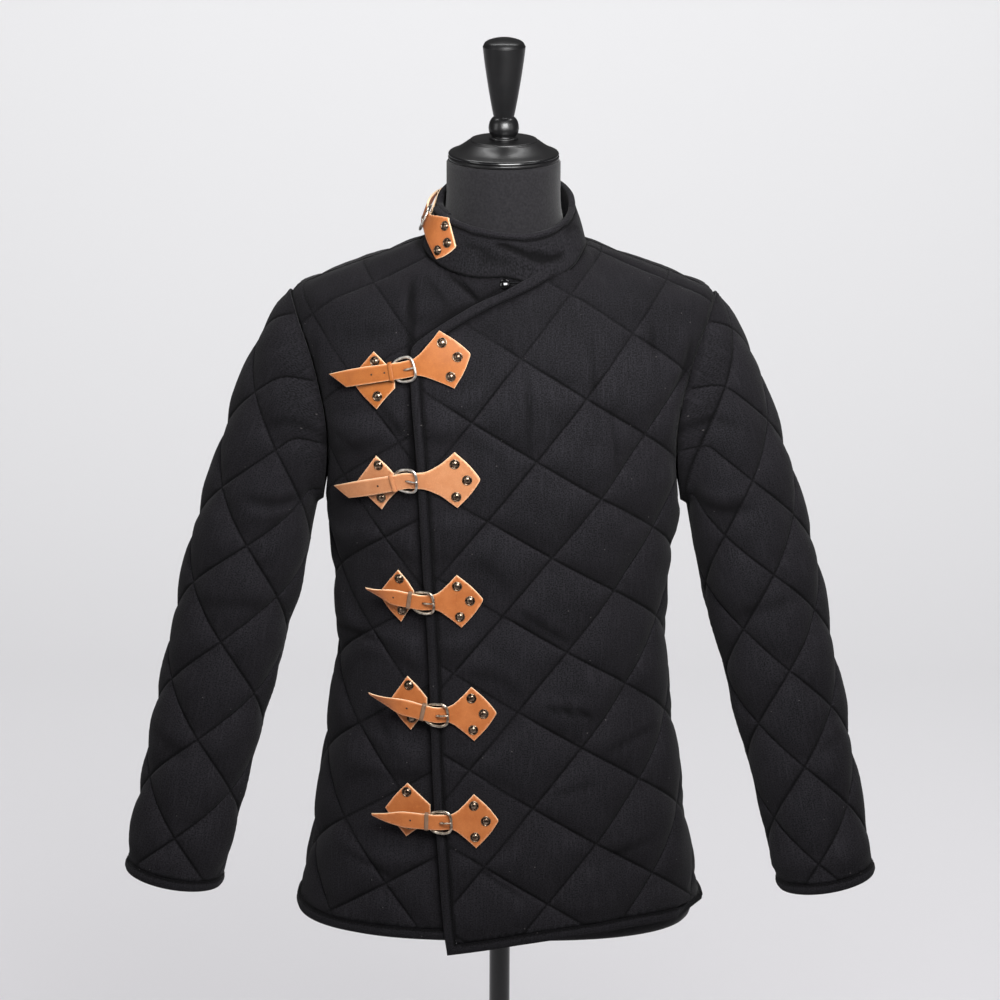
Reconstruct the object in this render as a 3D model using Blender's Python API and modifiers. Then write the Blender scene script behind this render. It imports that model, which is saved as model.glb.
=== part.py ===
"""Quilted gambeson with a buckled overlapping front, worn by a limbless dress form on a turned stand.

Metres, +Z up. The origin is the centre of the stand's underside and the garment's front looks along -Y,
so the wearer's left is +X. Every cloth panel is cut flat in its own cloth coordinates, u across and v up,
and laid on a curved sheet that is worked out from a short table of sections.
"""
import math

import bmesh
import bpy
import numpy as np
from mathutils import Vector
from mathutils.geometry import delaunay_2d_cdt

# ---- driving dimensions ------------------------------------------------------------------------------
SEAM_GAP = 0.0003          # between two pieces that meet at a seam
RIDGE_GAP = 0.0005         # half the gap along the shoulder's ridge
SEAT_GAP = 0.0012          # under a wall's end that stands on a coarser curved panel

WALL = 0.0026              # the cloth where it is stitched flat
PUFF = 0.0044              # how far the padding stands out between stitch lines
PUFF_RAMP = 0.030          # distance from a stitch line at which the padding is full
SEAM_FLAT = 0.0040         # the cloth lies flat for this distance from a seam
EDGE_RAMP = 0.012          # and the padding thins out over the next
PRESS_LEFT = 0.25          # share of the padding that is left under the leather
BINDING = 0.0115           # width of the bound edge
BOUND_WALL = 0.0042        # thickness of the bound edge along its middle

HEM_HEIGHT = 0.7085        # hem above the floor at the side seams
ARM_HEIGHT = 1.3010        # middle of the armhole
ARM_HALF_TALL = 0.1145
ARM_HALF_DEEP = 0.066
ARM_TUCK = 0.0015          # the body panels reach this far in under the sleeve's end

OVERLAP_LIFT = 0.0056      # the overlapping front lies this far out, over the under front
# It comes back to the body past the under front's edge: v, u where that starts, distance it takes
LAP_END = [(0.0, 0.105, 0.040), (0.700, 0.105, 0.040), (0.765, 0.088, 0.024), (0.900, 0.088, 0.024)]
FORM_TOP = 1.566           # top of the dress form's neck
FORM_BOTTOM = 0.7005

# Half sections of the body's inner face: z, half width, front depth, back depth, roundness
BODY = [
    (0.660, 0.2290, 0.1300, 0.1210, 2.60),
    (0.7085, 0.2270, 0.1300, 0.1215, 2.60),
    (0.735, 0.2180, 0.1295, 0.1215, 2.60),
    (0.790, 0.2080, 0.1270, 0.1210, 2.60),
    (0.870, 0.1965, 0.1230, 0.1150, 2.55),
    (0.950, 0.1860, 0.1180, 0.1010, 2.50),
    (1.030, 0.1785, 0.1150, 0.0910, 2.45),
    (1.100, 0.1820, 0.1170, 0.0930, 2.40),
    (1.180, 0.1915, 0.1240, 0.1050, 2.40),
    (1.250, 0.2010, 0.1290, 0.1150, 2.40),
    (1.310, 0.2140, 0.1280, 0.1180, 2.35),
    (1.360, 0.2270, 0.1205, 0.1140, 2.20),
    (1.395, 0.2340, 0.1110, 0.1070, 2.00),
    (1.4165, 0.2290, 0.1030, 0.0990, 1.85),
    (1.433, 0.2000, 0.0965, 0.0925, 1.60),
    (1.446, 0.1670, 0.0930, 0.0860, 1.47),
    (1.460, 0.1300, 0.0830, 0.0780, 1.47),
    (1.476, 0.0880, 0.0720, 0.0660, 1.78),
    (1.483, 0.0740, 0.0650, 0.0600, 2.00),
    (1.495, 0.0670, 0.0620, 0.0590, 2.00),
    (1.520, 0.0625, 0.0610, 0.0590, 2.00),
    (1.580, 0.0610, 0.0600, 0.0590, 2.00),
]

# Room between the cloth and the dress form: z, room
FORM_ROOM = [
    (0.66, 0.0100), (0.80, 0.0080), (1.00, 0.0055), (1.20, 0.0050), (1.34, 0.0050),
    (1.42, 0.0066), (1.462, 0.0062), (1.476, 0.0044), (1.486, 0.0010), (1.497, 0.0), (1.60, 0.0),
]

# Sections of the left sleeve from cuff to armhole, on the cloth's inner face:
# outer x, outer z, inner x, inner z, middle y, half depth
SLEEVE = [
    (0.4175, 0.7660, 0.3160, 0.7485, -0.058, 0.0490),
    (0.4055, 0.8240, 0.3020, 0.8030, -0.043, 0.0515),
    (0.3915, 0.8930, 0.2860, 0.8660, -0.028, 0.0540),
    (0.3770, 0.9640, 0.2690, 0.9290, -0.016, 0.0565),
    (0.3630, 1.0350, 0.2540, 0.9820, -0.009, 0.0590),
    (0.3490, 1.1050, 0.2420, 1.0310, -0.004, 0.0610),
    (0.3320, 1.1670, 0.2315, 1.0660, -0.001, 0.0630),
    (0.3105, 1.2350, 0.2220, 1.1030, 0.001, 0.0645),
    (0.2920, 1.2930, 0.2155, 1.1340, 0.002, 0.0655),
    (0.2725, 1.3450, 0.2110, 1.1620, 0.002, 0.0665),
    (0.2525, 1.3870, 0.2070, 1.1800, 0.001, 0.0668),
]

# Quilting: two families of stitch lines. Steps along each family, as (u, v), and one crossing's place.
STEP_DOWN = (0.0695, -0.0433)
STEP_UP = (0.0525, 0.0674)
FRONT_CROSSING = (0.0015, 0.3753)
UNDER_CROSSING = (-0.1633, 0.2384)
BACK_CROSSING = (0.0, 0.3300)
BACK_STEP = (0.0600, 0.0555)
# One crossing and the two steps of each sleeve's quilting
SLEEVE_QUILTS = {"left": ((0.0029, 0.1441), (0.0498, 0.0573), (-0.0426, 0.0537)),
                 "right": ((0.0078, 0.1713), (0.0529, 0.0556), (-0.0534, 0.0589))}

# Front edge of the overlapping front, neck to hem: x, z
OVERLAP_EDGE = [
    (0.0600, 1.4690), (0.0537, 1.4620), (0.0458, 1.4571), (0.0291, 1.4511), (0.0115, 1.4450),
    (-0.0036, 1.4378), (-0.0234, 1.4275), (-0.0413, 1.4180), (-0.0635, 1.4050), (-0.0790, 1.3947),
    (-0.0905, 1.3860), (-0.0970, 1.3770), (-0.0978, 1.3600), (-0.0965, 1.3300), (-0.0917, 1.2700),
    (-0.0841, 1.1350), (-0.0784, 1.0400), (-0.0730, 0.8790), (-0.0675, 0.8010), (-0.0617, 0.7220),
    (-0.0577, 0.6920),
]
# Hem of the overlapping front, corner to side seam: x, z
OVERLAP_HEM = [(-0.0577, 0.6920), (-0.0100, 0.6995), (0.0270, 0.7060), (0.0960, 0.7150),
               (0.1550, 0.7180), (0.1960, 0.7165)]
UNDER_EDGE_TOP = 0.0700    # x of the under front's hidden edge at the neck
UNDER_EDGE_HEM = 0.0300    # and at the hem

# Stand collar: plan ellipses of its outer face at the foot and at the top
COLLAR_WALL = 0.0046
COLLAR_FOOT = (0.0895, 0.0790, -0.0090)     # half width, half depth, middle y
COLLAR_SKEW = 0.0090                        # its foot bulges forward by this on the wearer's left
COLLAR_DIP = 0.0115                         # and its top edge is lower there
COLLAR_TOP = (0.0755, 0.0742, -0.0065)
COLLAR_TOP_Z = (1.5035, 1.5180, 1.5440)     # z of the top edge at front, sides and back
COLLAR_FALL = (1.8, 0.8)                    # powers of its top's fall to the front and rise to the back
COLLAR_SEAT = 1.9 * SEAT_GAP                # its foot stands this far above the panels
SKIN_PAST = 0.15                            # share of its height that the leather's level runs on past it
COLLAR_LAP = 0.030                          # the collar's ends lie on each other for this length
COLLAR_END = -1.35                          # angle of the outer end, from the front, towards -X

# Leather, buckles and button
LEATHER = 0.0022
STRAP_HALF = 0.0092
PLATE_HALF = 0.0310        # half height of the strap's riveted plate
PLATE_POINT = 0.0260       # its point stands out this far past its corners
FRAME_HALF_WIDE = 0.0115
FRAME_HALF_TALL = 0.0125
FRAME_WIRE = 0.0015
# Buckled straps on the front: buckle's u and v, tilt of the plate, length of the strap between buckle and
# plate, tilt and length of the free end, the buckle plate's place beside the buckle (u, v), how much higher
# the buckle lies where the bound edge runs in under its bar, how far the riveted plate comes down past it,
# and the buckle plate's half width and how far its top corner leans to the left
STRAPS = [
    (-0.1045, 0.6508, 15.0, 0.0360, 10.5, 0.0840, -0.0330, -0.0130, 0.0, 0.0,
     0.0280, -0.0018),
    (-0.1020, 0.5315, 3.0, 0.0420, 15.0, 0.0880, -0.0320, -0.0070, 0.0, 0.0008,
     0.0262, -0.0033),
    (-0.0839, 0.3906, 5.0, 0.0275, -7.0, 0.0580, -0.0270, 0.0035, 0.0010, 0.0008,
     0.0245, -0.0018),
    (-0.0692, 0.2615, 3.0, 0.0275, -11.0, 0.0680, -0.0310, 0.0095, 0.0032, 0.0011,
     0.0225, -0.0020),
    (-0.0655, 0.1393, 2.5, 0.0265, -1.5, 0.0720, -0.0370, 0.0100, 0.0026, 0.0011,
     0.0245, 0.0005),
]
# The collar's strap, in the collar's own flat coordinates
COLLAR_STRAP = (-0.1180, 0.0205, -3.0, 0.0375, -16.0, 0.0450, -0.0320, 0.0035, 0.0, 0.0,
                0.0250, 0.0)
COLLAR_PLATE_SHARE = 0.76
BUTTON = (0.0020, 1.4475, 0.0056, 0.0030)   # x, z, radius and thickness of the neck button

# Stand and its turned top
POLE_RADIUS = 0.0117
BASE_RADIUS = 0.170
BASE_THICK = 0.014
NECK_MIDDLE = -0.0005
CAP = [(0.0, 0.0222), (0.0366, 0.0222), (0.0392, 0.0200), (0.0560, 0.0085), (0.0590, 0.0066),
       (0.0605, 0.0052), (0.0605, 0.0010), (0.0595, 0.0), (0.0, 0.0)]
FINIAL = [(0.0, 0.1330), (0.0120, 0.1318), (0.0205, 0.1285), (0.0233, 0.1235), (0.0215, 0.1080),
          (0.0165, 0.0750), (0.0125, 0.0530), (0.0112, 0.0470), (0.0135, 0.0440), (0.0160, 0.0390),
          (0.0166, 0.0335), (0.0155, 0.0285), (0.0125, 0.0245), (0.0150, 0.0235), (0.0158, 0.0225),
          (0.0, 0.0225)]

# ---- small helpers -----------------------------------------------------------------------------------


def smooth(places, values, at):
    """A smooth curve through a table that never overshoots its values."""
    x, y = np.asarray(places, float), np.asarray(values, float)
    step = np.diff(x)
    slope = np.diff(y, axis=0) / step.reshape((-1,) + (1,) * (y.ndim - 1))
    before, after = slope[:-1], slope[1:]
    same = before * after > 0
    total = np.where(same, before + after, 1.0)
    tangent = np.zeros_like(y)
    tangent[1:-1] = np.where(same, 2 * before * after / total, 0.0)
    tangent[0], tangent[-1] = slope[0], slope[-1]
    at = np.asarray(at, float)
    i = np.clip(np.searchsorted(x, at) - 1, 0, len(x) - 2)
    s = np.clip((at - x[i]) / step[i], 0.0, 1.0)
    h = step[i]
    if y.ndim > 1:
        s, h = s[..., None], h[..., None]
    return ((1 + 2 * s) * (1 - s) ** 2 * y[i] + s * (1 - s) ** 2 * h * tangent[i]
            + s * s * (3 - 2 * s) * y[i + 1] + s * s * (s - 1) * h * tangent[i + 1])


def ramp(x):
    """0 below 0, 1 above 1, and a smooth step between."""
    x = np.clip(x, 0.0, 1.0)
    return x * x * (3 - 2 * x)


def even(points, spacing, smooth_line=True):
    """Points about one spacing apart along a line through the given ones."""
    points = np.asarray(points, float)
    run = np.r_[0.0, np.cumsum(np.linalg.norm(np.diff(points, axis=0), axis=1))]
    count = max(1, int(round(run[-1] / spacing)))
    at = np.linspace(0.0, run[-1], count + 1)
    if smooth_line and len(points) > 2:
        return smooth(run, points, at)
    return np.stack([np.interp(at, run, points[:, k]) for k in range(points.shape[1])], axis=1)


def beside(points, distance):
    """The line moved sideways, to the left of its direction."""
    points = np.asarray(points, float)
    way = np.gradient(points, axis=0)
    way /= np.linalg.norm(way, axis=1, keepdims=True)
    return points + distance * np.stack([-way[:, 1], way[:, 0]], axis=1)


def distance_to_line(points, line, closed=True):
    """Distance of each point to a polygon's or a line's nearest side."""
    line = np.asarray(line, float)
    ends = np.roll(line, -1, axis=0) if closed else line[1:]
    starts = line if closed else line[:-1]
    best = np.full(len(points), 1e9)
    for a, b in zip(starts, ends):
        side = b - a
        t = np.clip(((points - a) @ side) / max(side @ side, 1e-12), 0.0, 1.0)
        best = np.minimum(best, np.linalg.norm(points - a - t[:, None] * side, axis=1))
    return best


def is_inside(points, polygon):
    """Whether each point lies inside a closed polygon."""
    inside = np.zeros(len(points), bool)
    for (ax, ay), (bx, by) in zip(polygon, np.roll(polygon, -1, axis=0)):
        crosses = (ay > points[:, 1]) != (by > points[:, 1])
        if crosses.any():
            x = ax + (points[:, 1] - ay) * (bx - ax) / (by - ay if by != ay else 1e-12)
            inside ^= crosses & (points[:, 0] < x)
    return inside


# ---- curved sheets that the cloth lies on --------------------------------------------------------------


class Sheet:
    """A curved sheet held as a grid, with flat cloth coordinates u and v at every grid point."""

    def __init__(self, points, u, v):
        self.points, self.u, self.v = points, u, v
        across, up = np.gradient(points, axis=0), np.gradient(points, axis=1)
        normals = np.cross(across, up)
        self.normals = normals / np.maximum(np.linalg.norm(normals, axis=2, keepdims=True), 1e-12)
        self.slopes = [np.gradient(field, axis=axis) for field in (u, v) for axis in (0, 1)]

    @staticmethod
    def read(field, p, q):
        """The field between grid points, by the four around it."""
        p = np.clip(p, 0.0, field.shape[0] - 1.0001)
        q = np.clip(q, 0.0, field.shape[1] - 1.0001)
        i, j = p.astype(int), q.astype(int)
        s, t = p - i, q - j
        if field.ndim > 2:
            s, t = s[..., None], t[..., None]
        return ((1 - s) * (1 - t) * field[i, j] + s * (1 - t) * field[i + 1, j]
                + (1 - s) * t * field[i, j + 1] + s * t * field[i + 1, j + 1])

    def find(self, flat):
        """Grid places of flat coordinates, by Newton's method."""
        u, v = flat[:, 0], flat[:, 1]
        p = np.full(len(flat), self.u.shape[0] * 0.5)
        q = np.full(len(flat), self.u.shape[1] * 0.5)
        for _ in range(30):
            miss_u, miss_v = u - self.read(self.u, p, q), v - self.read(self.v, p, q)
            up, uq, vp, vq = (self.read(slope, p, q) for slope in self.slopes)
            area = up * vq - uq * vp
            area = np.where(np.abs(area) < 1e-9, 1e-9, area)
            p = np.clip(p + np.clip((miss_u * vq - miss_v * uq) / area, -15, 15), 0, self.u.shape[0] - 1)
            q = np.clip(q + np.clip((miss_v * up - miss_u * vp) / area, -15, 15), 0, self.u.shape[1] - 1)
        return p, q

    def place(self, flat, height):
        """Points in space for flat coordinates, moved out from the sheet by a height."""
        p, q = self.find(np.asarray(flat, float))
        normals = self.read(self.normals, p, q)
        normals /= np.linalg.norm(normals, axis=1, keepdims=True)
        return self.read(self.points, p, q) + normals * np.asarray(height, float).reshape(-1, 1)


TURN = np.linspace(0.0, 2 * math.pi, 361)
Z_GRID = np.arange(0.668, 1.5301, 0.004)
U_GRID = np.arange(-0.350, 0.3501, 0.005)


def section(z, room=0.0):
    """Half width, front depth, back depth and roundness of the body at a height."""
    rows = np.array(BODY)
    width, front, back, power = (smooth(rows[:, 0], rows[:, k], z) for k in (1, 2, 3, 4))
    return width - room, front - room, back - room, power


def ring(z, near_front=True):
    """The body's outline at a height, from its front (or back) centre round to the side and on."""
    width, front, back, power = section(z)
    near, far = (front, back) if near_front else (back, front)
    sine, cosine = np.sin(TURN), np.cos(TURN)
    x = width * np.sign(sine) * np.abs(sine) ** (2 / power)
    y = -np.where(cosine > 0, near, far) * np.sign(cosine) * np.abs(cosine) ** (2 / power)
    run = np.r_[0.0, np.cumsum(np.hypot(np.diff(x), np.diff(y)))]
    return x, y, run


def body_sheet(near_front):
    """The body's inner face with u measured from the front (or back) centre and v from the hem."""
    grid = np.zeros((len(U_GRID), len(Z_GRID), 3))
    for j, z in enumerate(Z_GRID):
        x, y, run = ring(z, near_front)
        grid[:, j, 0] = np.sign(U_GRID) * np.interp(np.abs(U_GRID), run, x)
        grid[:, j, 1] = np.interp(np.abs(U_GRID), run, y)
        grid[:, j, 2] = z
    if not near_front:
        grid[:, :, :2] *= -1
    step = np.linalg.norm(np.diff(grid, axis=1), axis=2)
    v = np.concatenate([np.zeros((len(U_GRID), 1)), np.cumsum(step, axis=1)], axis=1)
    hem = Sheet.read(v, np.arange(len(U_GRID), dtype=float),
                     np.full(len(U_GRID), (HEM_HEIGHT - Z_GRID[0]) / (Z_GRID[1] - Z_GRID[0])))
    u = np.repeat(U_GRID[:, None], len(Z_GRID), axis=1)
    return Sheet(grid, u, v - hem[:, None])


FRONT, BACK = body_sheet(True), body_sheet(False)


def flat_place(sheet, u, z):
    """Flat coordinates of a place on the body that is known by u and its height."""
    p = (np.asarray(u, float) - U_GRID[0]) / (U_GRID[1] - U_GRID[0])
    q = (np.asarray(z, float) - Z_GRID[0]) / (Z_GRID[1] - Z_GRID[0])
    return np.stack([np.asarray(u, float), Sheet.read(sheet.v, p, q)], axis=-1)


def u_at_x(x, z):
    """u on the front where the body is x from the middle at a height."""
    xs, _, run = ring(z)
    quarter = len(TURN) // 4 + 1
    return math.copysign(np.interp(abs(x), xs[:quarter], run[:quarter]), x)


def u_at_depth(depth, z, near_front):
    """u where the body is a given depth before (or behind) the side seam."""
    _, y, run = ring(z, near_front)
    quarter = len(TURN) // 4 + 1
    return np.interp(-depth, y[:quarter], run[:quarter])


def on_front(rows):
    """Flat coordinates of places on the front that are given as (x, z)."""
    return np.array([flat_place(FRONT, u_at_x(x, z), z) for x, z in rows])


def height_at(x, y):
    """Height of the body's inner face above a point of the neck and shoulders."""
    z = np.linspace(1.36, 1.50, 141)
    width, front, back, power = section(z)
    depth = front if y < 0 else back
    fill = (abs(x) / width) ** power + (abs(y) / depth) ** power
    return float(np.interp(1.0, fill, z))


# ---- quilting ------------------------------------------------------------------------------------------


class Quilt:
    """A lattice of stitch lines in flat coordinates, with one crossing at the origin given."""

    def __init__(self, origin, step_a, step_b):
        self.origin = np.array(origin, float)
        self.basis = np.array([step_a, step_b], float)
        self.inverse = np.linalg.inv(self.basis)
        area = abs(np.linalg.det(self.basis))
        self.spacing = area / np.linalg.norm(self.basis[::-1], axis=1)

    def height(self, flat):
        """How far the padding stands out, from 0 on a stitch line to 1 inside a cell."""
        cell = (np.asarray(flat) - self.origin) @ self.inverse
        distance = np.abs(cell - np.round(cell)) * self.spacing
        full = 1 - (1 - np.clip(distance / PUFF_RAMP, 0, 1)) ** 2.2
        return full[:, 0] * full[:, 1]

    def points(self, polygon, per_side=3):
        """Mesh points that follow the lines: on them, and in rows between them."""
        cells = (np.asarray(polygon) - self.origin) @ self.inverse
        low, high = np.floor(cells.min(axis=0)), np.ceil(cells.max(axis=0))
        marks = [k / per_side for k in range(per_side)]
        middles = [(k + 0.5) / per_side for k in range(per_side)]
        inside = [(0.0, b) for b in marks] + [(a, 0.0) for a in marks[1:]]
        inside += [(a, b) for a in middles for b in middles]
        found = [(i + a, j + b) for i in np.arange(low[0], high[0]) for j in np.arange(low[1], high[1])
                 for a, b in inside]
        return np.array(found) @ self.basis + self.origin


def grid_points(polygon, spacing):
    """Rows of points for the plain inner face."""
    polygon = np.asarray(polygon)
    (u0, v0), (u1, v1) = polygon.min(axis=0), polygon.max(axis=0)
    rows = []
    for k, v in enumerate(np.arange(v0 + spacing * 0.5, v1, spacing * 0.87)):
        rows += [(u, v) for u in np.arange(u0 + spacing * (0.25 + 0.5 * (k % 2)), u1, spacing)]
    return np.array(rows)


# ---- solids --------------------------------------------------------------------------------------------

PART = "gambeson_on_dress_form"
FINISHES = {}


def finish(name, colour, roughness, metallic=0.0):
    """One plain Principled material for a kind of piece."""
    material = bpy.data.materials.new(name)
    material.use_nodes = True
    shader = material.node_tree.nodes["Principled BSDF"]
    shader.inputs["Base Color"].default_value = (*colour, 1.0)
    shader.inputs["Roughness"].default_value = roughness
    shader.inputs["Metallic"].default_value = metallic
    FINISHES[name] = material


def add_object(name, vertices, faces, finish_name, mirrored=False):
    """A mesh object from points and faces, smooth shaded."""
    vertices = np.array(vertices, float)
    if mirrored:
        vertices[:, 0] *= -1
        faces = [tuple(reversed(face)) for face in faces]
    mesh = bpy.data.meshes.new(name)
    mesh.from_pydata(vertices.tolist(), [], [tuple(int(i) for i in face) for face in faces])
    mesh.validate()
    mesh.shade_smooth()
    mesh.set_sharp_from_angle(angle=math.radians(35))
    mesh.materials.append(FINISHES[finish_name])
    thing = bpy.data.objects.new(name, mesh)
    bpy.data.collections[PART].objects.link(thing)
    return thing


def triangles_in(outline, points):
    """Triangles that fill an outline and use the given inner points."""
    outline = [Vector(p) for p in outline]
    count = len(outline)
    sides = [(i, (i + 1) % count) for i in range(count)]
    result = delaunay_2d_cdt(outline + [Vector(p) for p in points], sides, [], 1, 1e-7)
    if len(result[0]) != count + len(points):
        raise ValueError("the outline crosses itself or two points coincide")
    flat = np.array([tuple(p) for p in result[0]])
    found = []
    for a, b, c in result[2]:
        (ax, ay), (bx, by), (cx, cy) = flat[a], flat[b], flat[c]
        area = (bx - ax) * (cy - ay) - (by - ay) * (cx - ax)
        found.append((a, b, c) if area > 0 else (a, c, b))
    return found


def keep_clear(points, outline, distance):
    """The points that lie inside the outline and not close to it."""
    points = points[is_inside(points, np.asarray(outline))]
    return points[distance_to_line(points, outline) > distance]


def wall(name, outline, outer_points, inner_points, outer_place, inner_place, finish_name,
         mirrored=False, joined=()):
    """A closed wall between an outer and an inner face that share one outline.

    joined pairs the outline's points that become one, where a tube's two long edges meet.
    """
    count = len(outline)
    outer_flat = np.vstack([outline, outer_points]) if len(outer_points) else np.array(outline)
    inner_flat = np.vstack([outline, inner_points]) if len(inner_points) else np.array(outline)
    outer_faces = triangles_in(outline, outer_points)
    inner_faces = triangles_in(outline, inner_points)
    vertices = np.vstack([outer_place(outer_flat), inner_place(inner_flat)])
    shift = len(outer_flat)
    same = {b: a for a, b in joined}
    merged = set(same) | set(same.values())
    faces = [tuple(same.get(i, i) for i in face) for face in outer_faces]
    faces += [tuple(same.get(i, i) + shift for i in reversed(face)) for face in inner_faces]
    for i in range(count):
        j = (i + 1) % count
        if i in merged and j in merged:
            continue
        a, b = same.get(i, i), same.get(j, j)
        faces += [(a, a + shift, b + shift), (a, b + shift, b)]
    used = sorted({i for face in faces for i in face})
    order = {old: new for new, old in enumerate(used)}
    faces = [tuple(order[i] for i in face) for face in faces]
    return add_object(name, vertices[used], faces, finish_name, mirrored)


def turned(name, profile, finish_name, centre=(0.0, 0.0), sides=24):
    """A turned piece: a half outline from its top to its bottom, spun about an upright axis."""
    mesh = bpy.data.meshes.new(name)
    mesh.from_pydata([(r, 0.0, z) for r, z in profile], [(i, i + 1) for i in range(len(profile) - 1)], [])
    thing = bpy.data.objects.new(name, mesh)
    thing.location = (centre[0], centre[1], 0.0)
    bpy.data.collections[PART].objects.link(thing)
    mesh.materials.append(FINISHES[finish_name])
    screw = thing.modifiers.new("turn", "SCREW")
    screw.axis = "Z"
    screw.steps = screw.render_steps = sides
    screw.use_merge_vertices = True
    screw.merge_threshold = 0.00001
    screw.use_smooth_shade = True
    return thing


# ---- body panels ---------------------------------------------------------------------------------------

EDGE_STEP = 0.022
INNER_STEP = 0.032


def side_point(near_front, z):
    """Flat coordinates of the side seam at a height, on the +u side."""
    sheet = FRONT if near_front else BACK
    return flat_place(sheet, u_at_depth(0.0, z, near_front) - SEAM_GAP, z)


def side_seam(near_front, top):
    """Flat points up the side seam, from the bound hem to the armhole, on the +u side."""
    bottom = HEM_HEIGHT + BINDING + SEAM_GAP
    return np.array([side_point(near_front, z)
                     for z in np.linspace(bottom, top, int((top - bottom) / EDGE_STEP) + 1)])


def armhole(near_front):
    """Flat points along half of the armhole, from the side seam up to the shoulder seam."""
    sheet = FRONT if near_front else BACK
    tall, deep = ARM_HALF_TALL - ARM_TUCK, ARM_HALF_DEEP - ARM_TUCK
    rows = []
    for turn in np.linspace(-math.pi / 2, math.pi / 2, 15)[1:-1]:
        z = ARM_HEIGHT + tall * math.sin(turn)
        rows.append(flat_place(sheet, u_at_depth(deep * math.cos(turn), z, near_front), z))
    return np.array(rows)


def skew(turn):
    """How far the collar's foot bulges forward between the front and the wearer's left side."""
    return COLLAR_SKEW * max(0.0, math.sin(2 * turn)) * max(0.0, math.sin(turn))


def neck_point(turn):
    """Plan position on the neck edge of the body panels; turn 0 is the front, positive towards +X."""
    half_width, half_deep, middle = COLLAR_FOOT
    wide, deep = half_width - COLLAR_WALL - SEAM_GAP, half_deep - COLLAR_WALL - SEAM_GAP
    return wide * math.sin(turn), middle - deep * math.cos(turn) - skew(turn)


def neck_side_turn():
    """The turn at which the neck edge crosses the shoulder seam."""
    _, half_deep, middle = COLLAR_FOOT
    return math.acos(middle / (half_deep - COLLAR_WALL))


def neck_edge(turns, near_front):
    """Flat points along the neck edge of the body."""
    sheet = FRONT if near_front else BACK
    rows = []
    for turn in turns:
        x, y = neck_point(turn)
        z = height_at(x, y)
        if near_front:
            u = math.copysign(u_at_depth(-y, z, True), x)
        else:
            u = -math.copysign(u_at_depth(y, z, False), x)
        rows.append(flat_place(sheet, u, z))
    return np.array(rows)


def shoulder_seam(near_front):
    """Flat points along the shoulder seam, from the armhole to the neck, on the +u side."""
    x, y = neck_point(neck_side_turn())
    top = height_at(x, y)
    low = ARM_HEIGHT + ARM_HALF_TALL - ARM_TUCK
    sheet = FRONT if near_front else BACK
    rows = [flat_place(sheet, u_at_depth(RIDGE_GAP, z, near_front), z) for z in np.linspace(low, top, 9)]
    return np.array(rows)


def half_outline(near_front):
    """Side seam, armhole and shoulder seam of one half, from the hem to the neck, on the +u side."""
    low = ARM_HEIGHT - ARM_HALF_TALL + ARM_TUCK
    return np.vstack([side_seam(near_front, low), armhole(near_front), shoulder_seam(near_front)])


def mirror_u(points):
    """The same points on the other side of the centre line, in the opposite order."""
    return np.asarray(points)[::-1] * np.array([-1.0, 1.0])


def press(flat):
    """Share of the padding that is left beside the leather fastenings."""
    left = np.ones(len(flat))
    for u, v, tilt, neck, tail_tilt, tail, *_ in STRAPS:
        centre = np.array([u, v])
        line = np.array([centre - (tail + 0.004) * along(tail_tilt), centre,
                         centre + (neck + 0.02) * along(tilt)])
        away = distance_to_line(np.asarray(flat), line, closed=False)
        left = np.minimum(left, PRESS_LEFT + (1 - PRESS_LEFT) * ramp((away - 0.036) / 0.020))
    return left


def along(tilt):
    """Unit vector at a tilt in degrees."""
    return np.array([math.cos(math.radians(tilt)), math.sin(math.radians(tilt))])


def lap_lift(flat):
    """How far the overlapping front lies out, over the under front."""
    rows = np.array(LAP_END)
    reach, run = (np.interp(flat[:, 1], rows[:, 0], rows[:, k]) for k in (1, 2))
    return OVERLAP_LIFT * (1 - ramp((flat[:, 0] - reach) / run))


def no_lift(flat):
    """A panel that lies straight on the body's sheet."""
    return np.zeros(len(flat))


def cloth_panel(name, sheet, outline, quilt, lift=no_lift, free_edge=None):
    """A quilted panel: padded outer points over a plain inside. Past its free edge it is covered."""
    outline = np.asarray(outline)
    outer = keep_clear(quilt.points(outline), outline, 0.008)
    inner = keep_clear(grid_points(outline, INNER_STEP), outline, 0.012)

    def outer_place(flat):
        puff = PUFF * quilt.height(flat) * ramp((distance_to_line(flat, outline) - SEAM_FLAT) / EDGE_RAMP)
        if sheet is FRONT:
            puff = puff * press(flat)
        if free_edge is not None:
            puff = puff * ramp((np.interp(flat[:, 1], *free_edge) - flat[:, 0] - 0.012) / 0.02)
        return sheet.place(flat, lift(flat) + WALL + puff)

    return wall(name, outline, outer, inner, outer_place,
                lambda flat: sheet.place(flat, lift(flat)), "cloth")


def strip(name, sheet, edge, seam, lift=no_lift, joined=(), mirrored=False):
    """A bound edge: a narrow wall between its free edge and the seam, fuller along its middle."""
    outline = np.vstack([edge, seam[::-1]])
    following = np.roll(outline, -1, axis=0)
    if np.sum(outline[:, 0] * following[:, 1] - outline[:, 1] * following[:, 0]) < 0:
        outline = outline[::-1]
        joined = [(len(outline) - 1 - b, len(outline) - 1 - a) for a, b in joined]
    nearest = np.argmin(np.linalg.norm(edge[:, None] - seam[None], axis=2), axis=1)
    middle = keep_clear((edge + seam[nearest]) * 0.5, outline, BINDING * 0.3)

    def outer_place(flat):
        across = np.minimum(distance_to_line(flat, edge, False), distance_to_line(flat, seam, False))
        full = ramp(across / (BINDING * 0.45))
        return sheet.place(flat, lift(flat) + WALL + 0.0004 + (BOUND_WALL - WALL) * full)

    return wall(name, outline, middle, np.zeros((0, 2)), outer_place,
                lambda flat: sheet.place(flat, lift(flat)), "binding", mirrored, joined)


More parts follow.
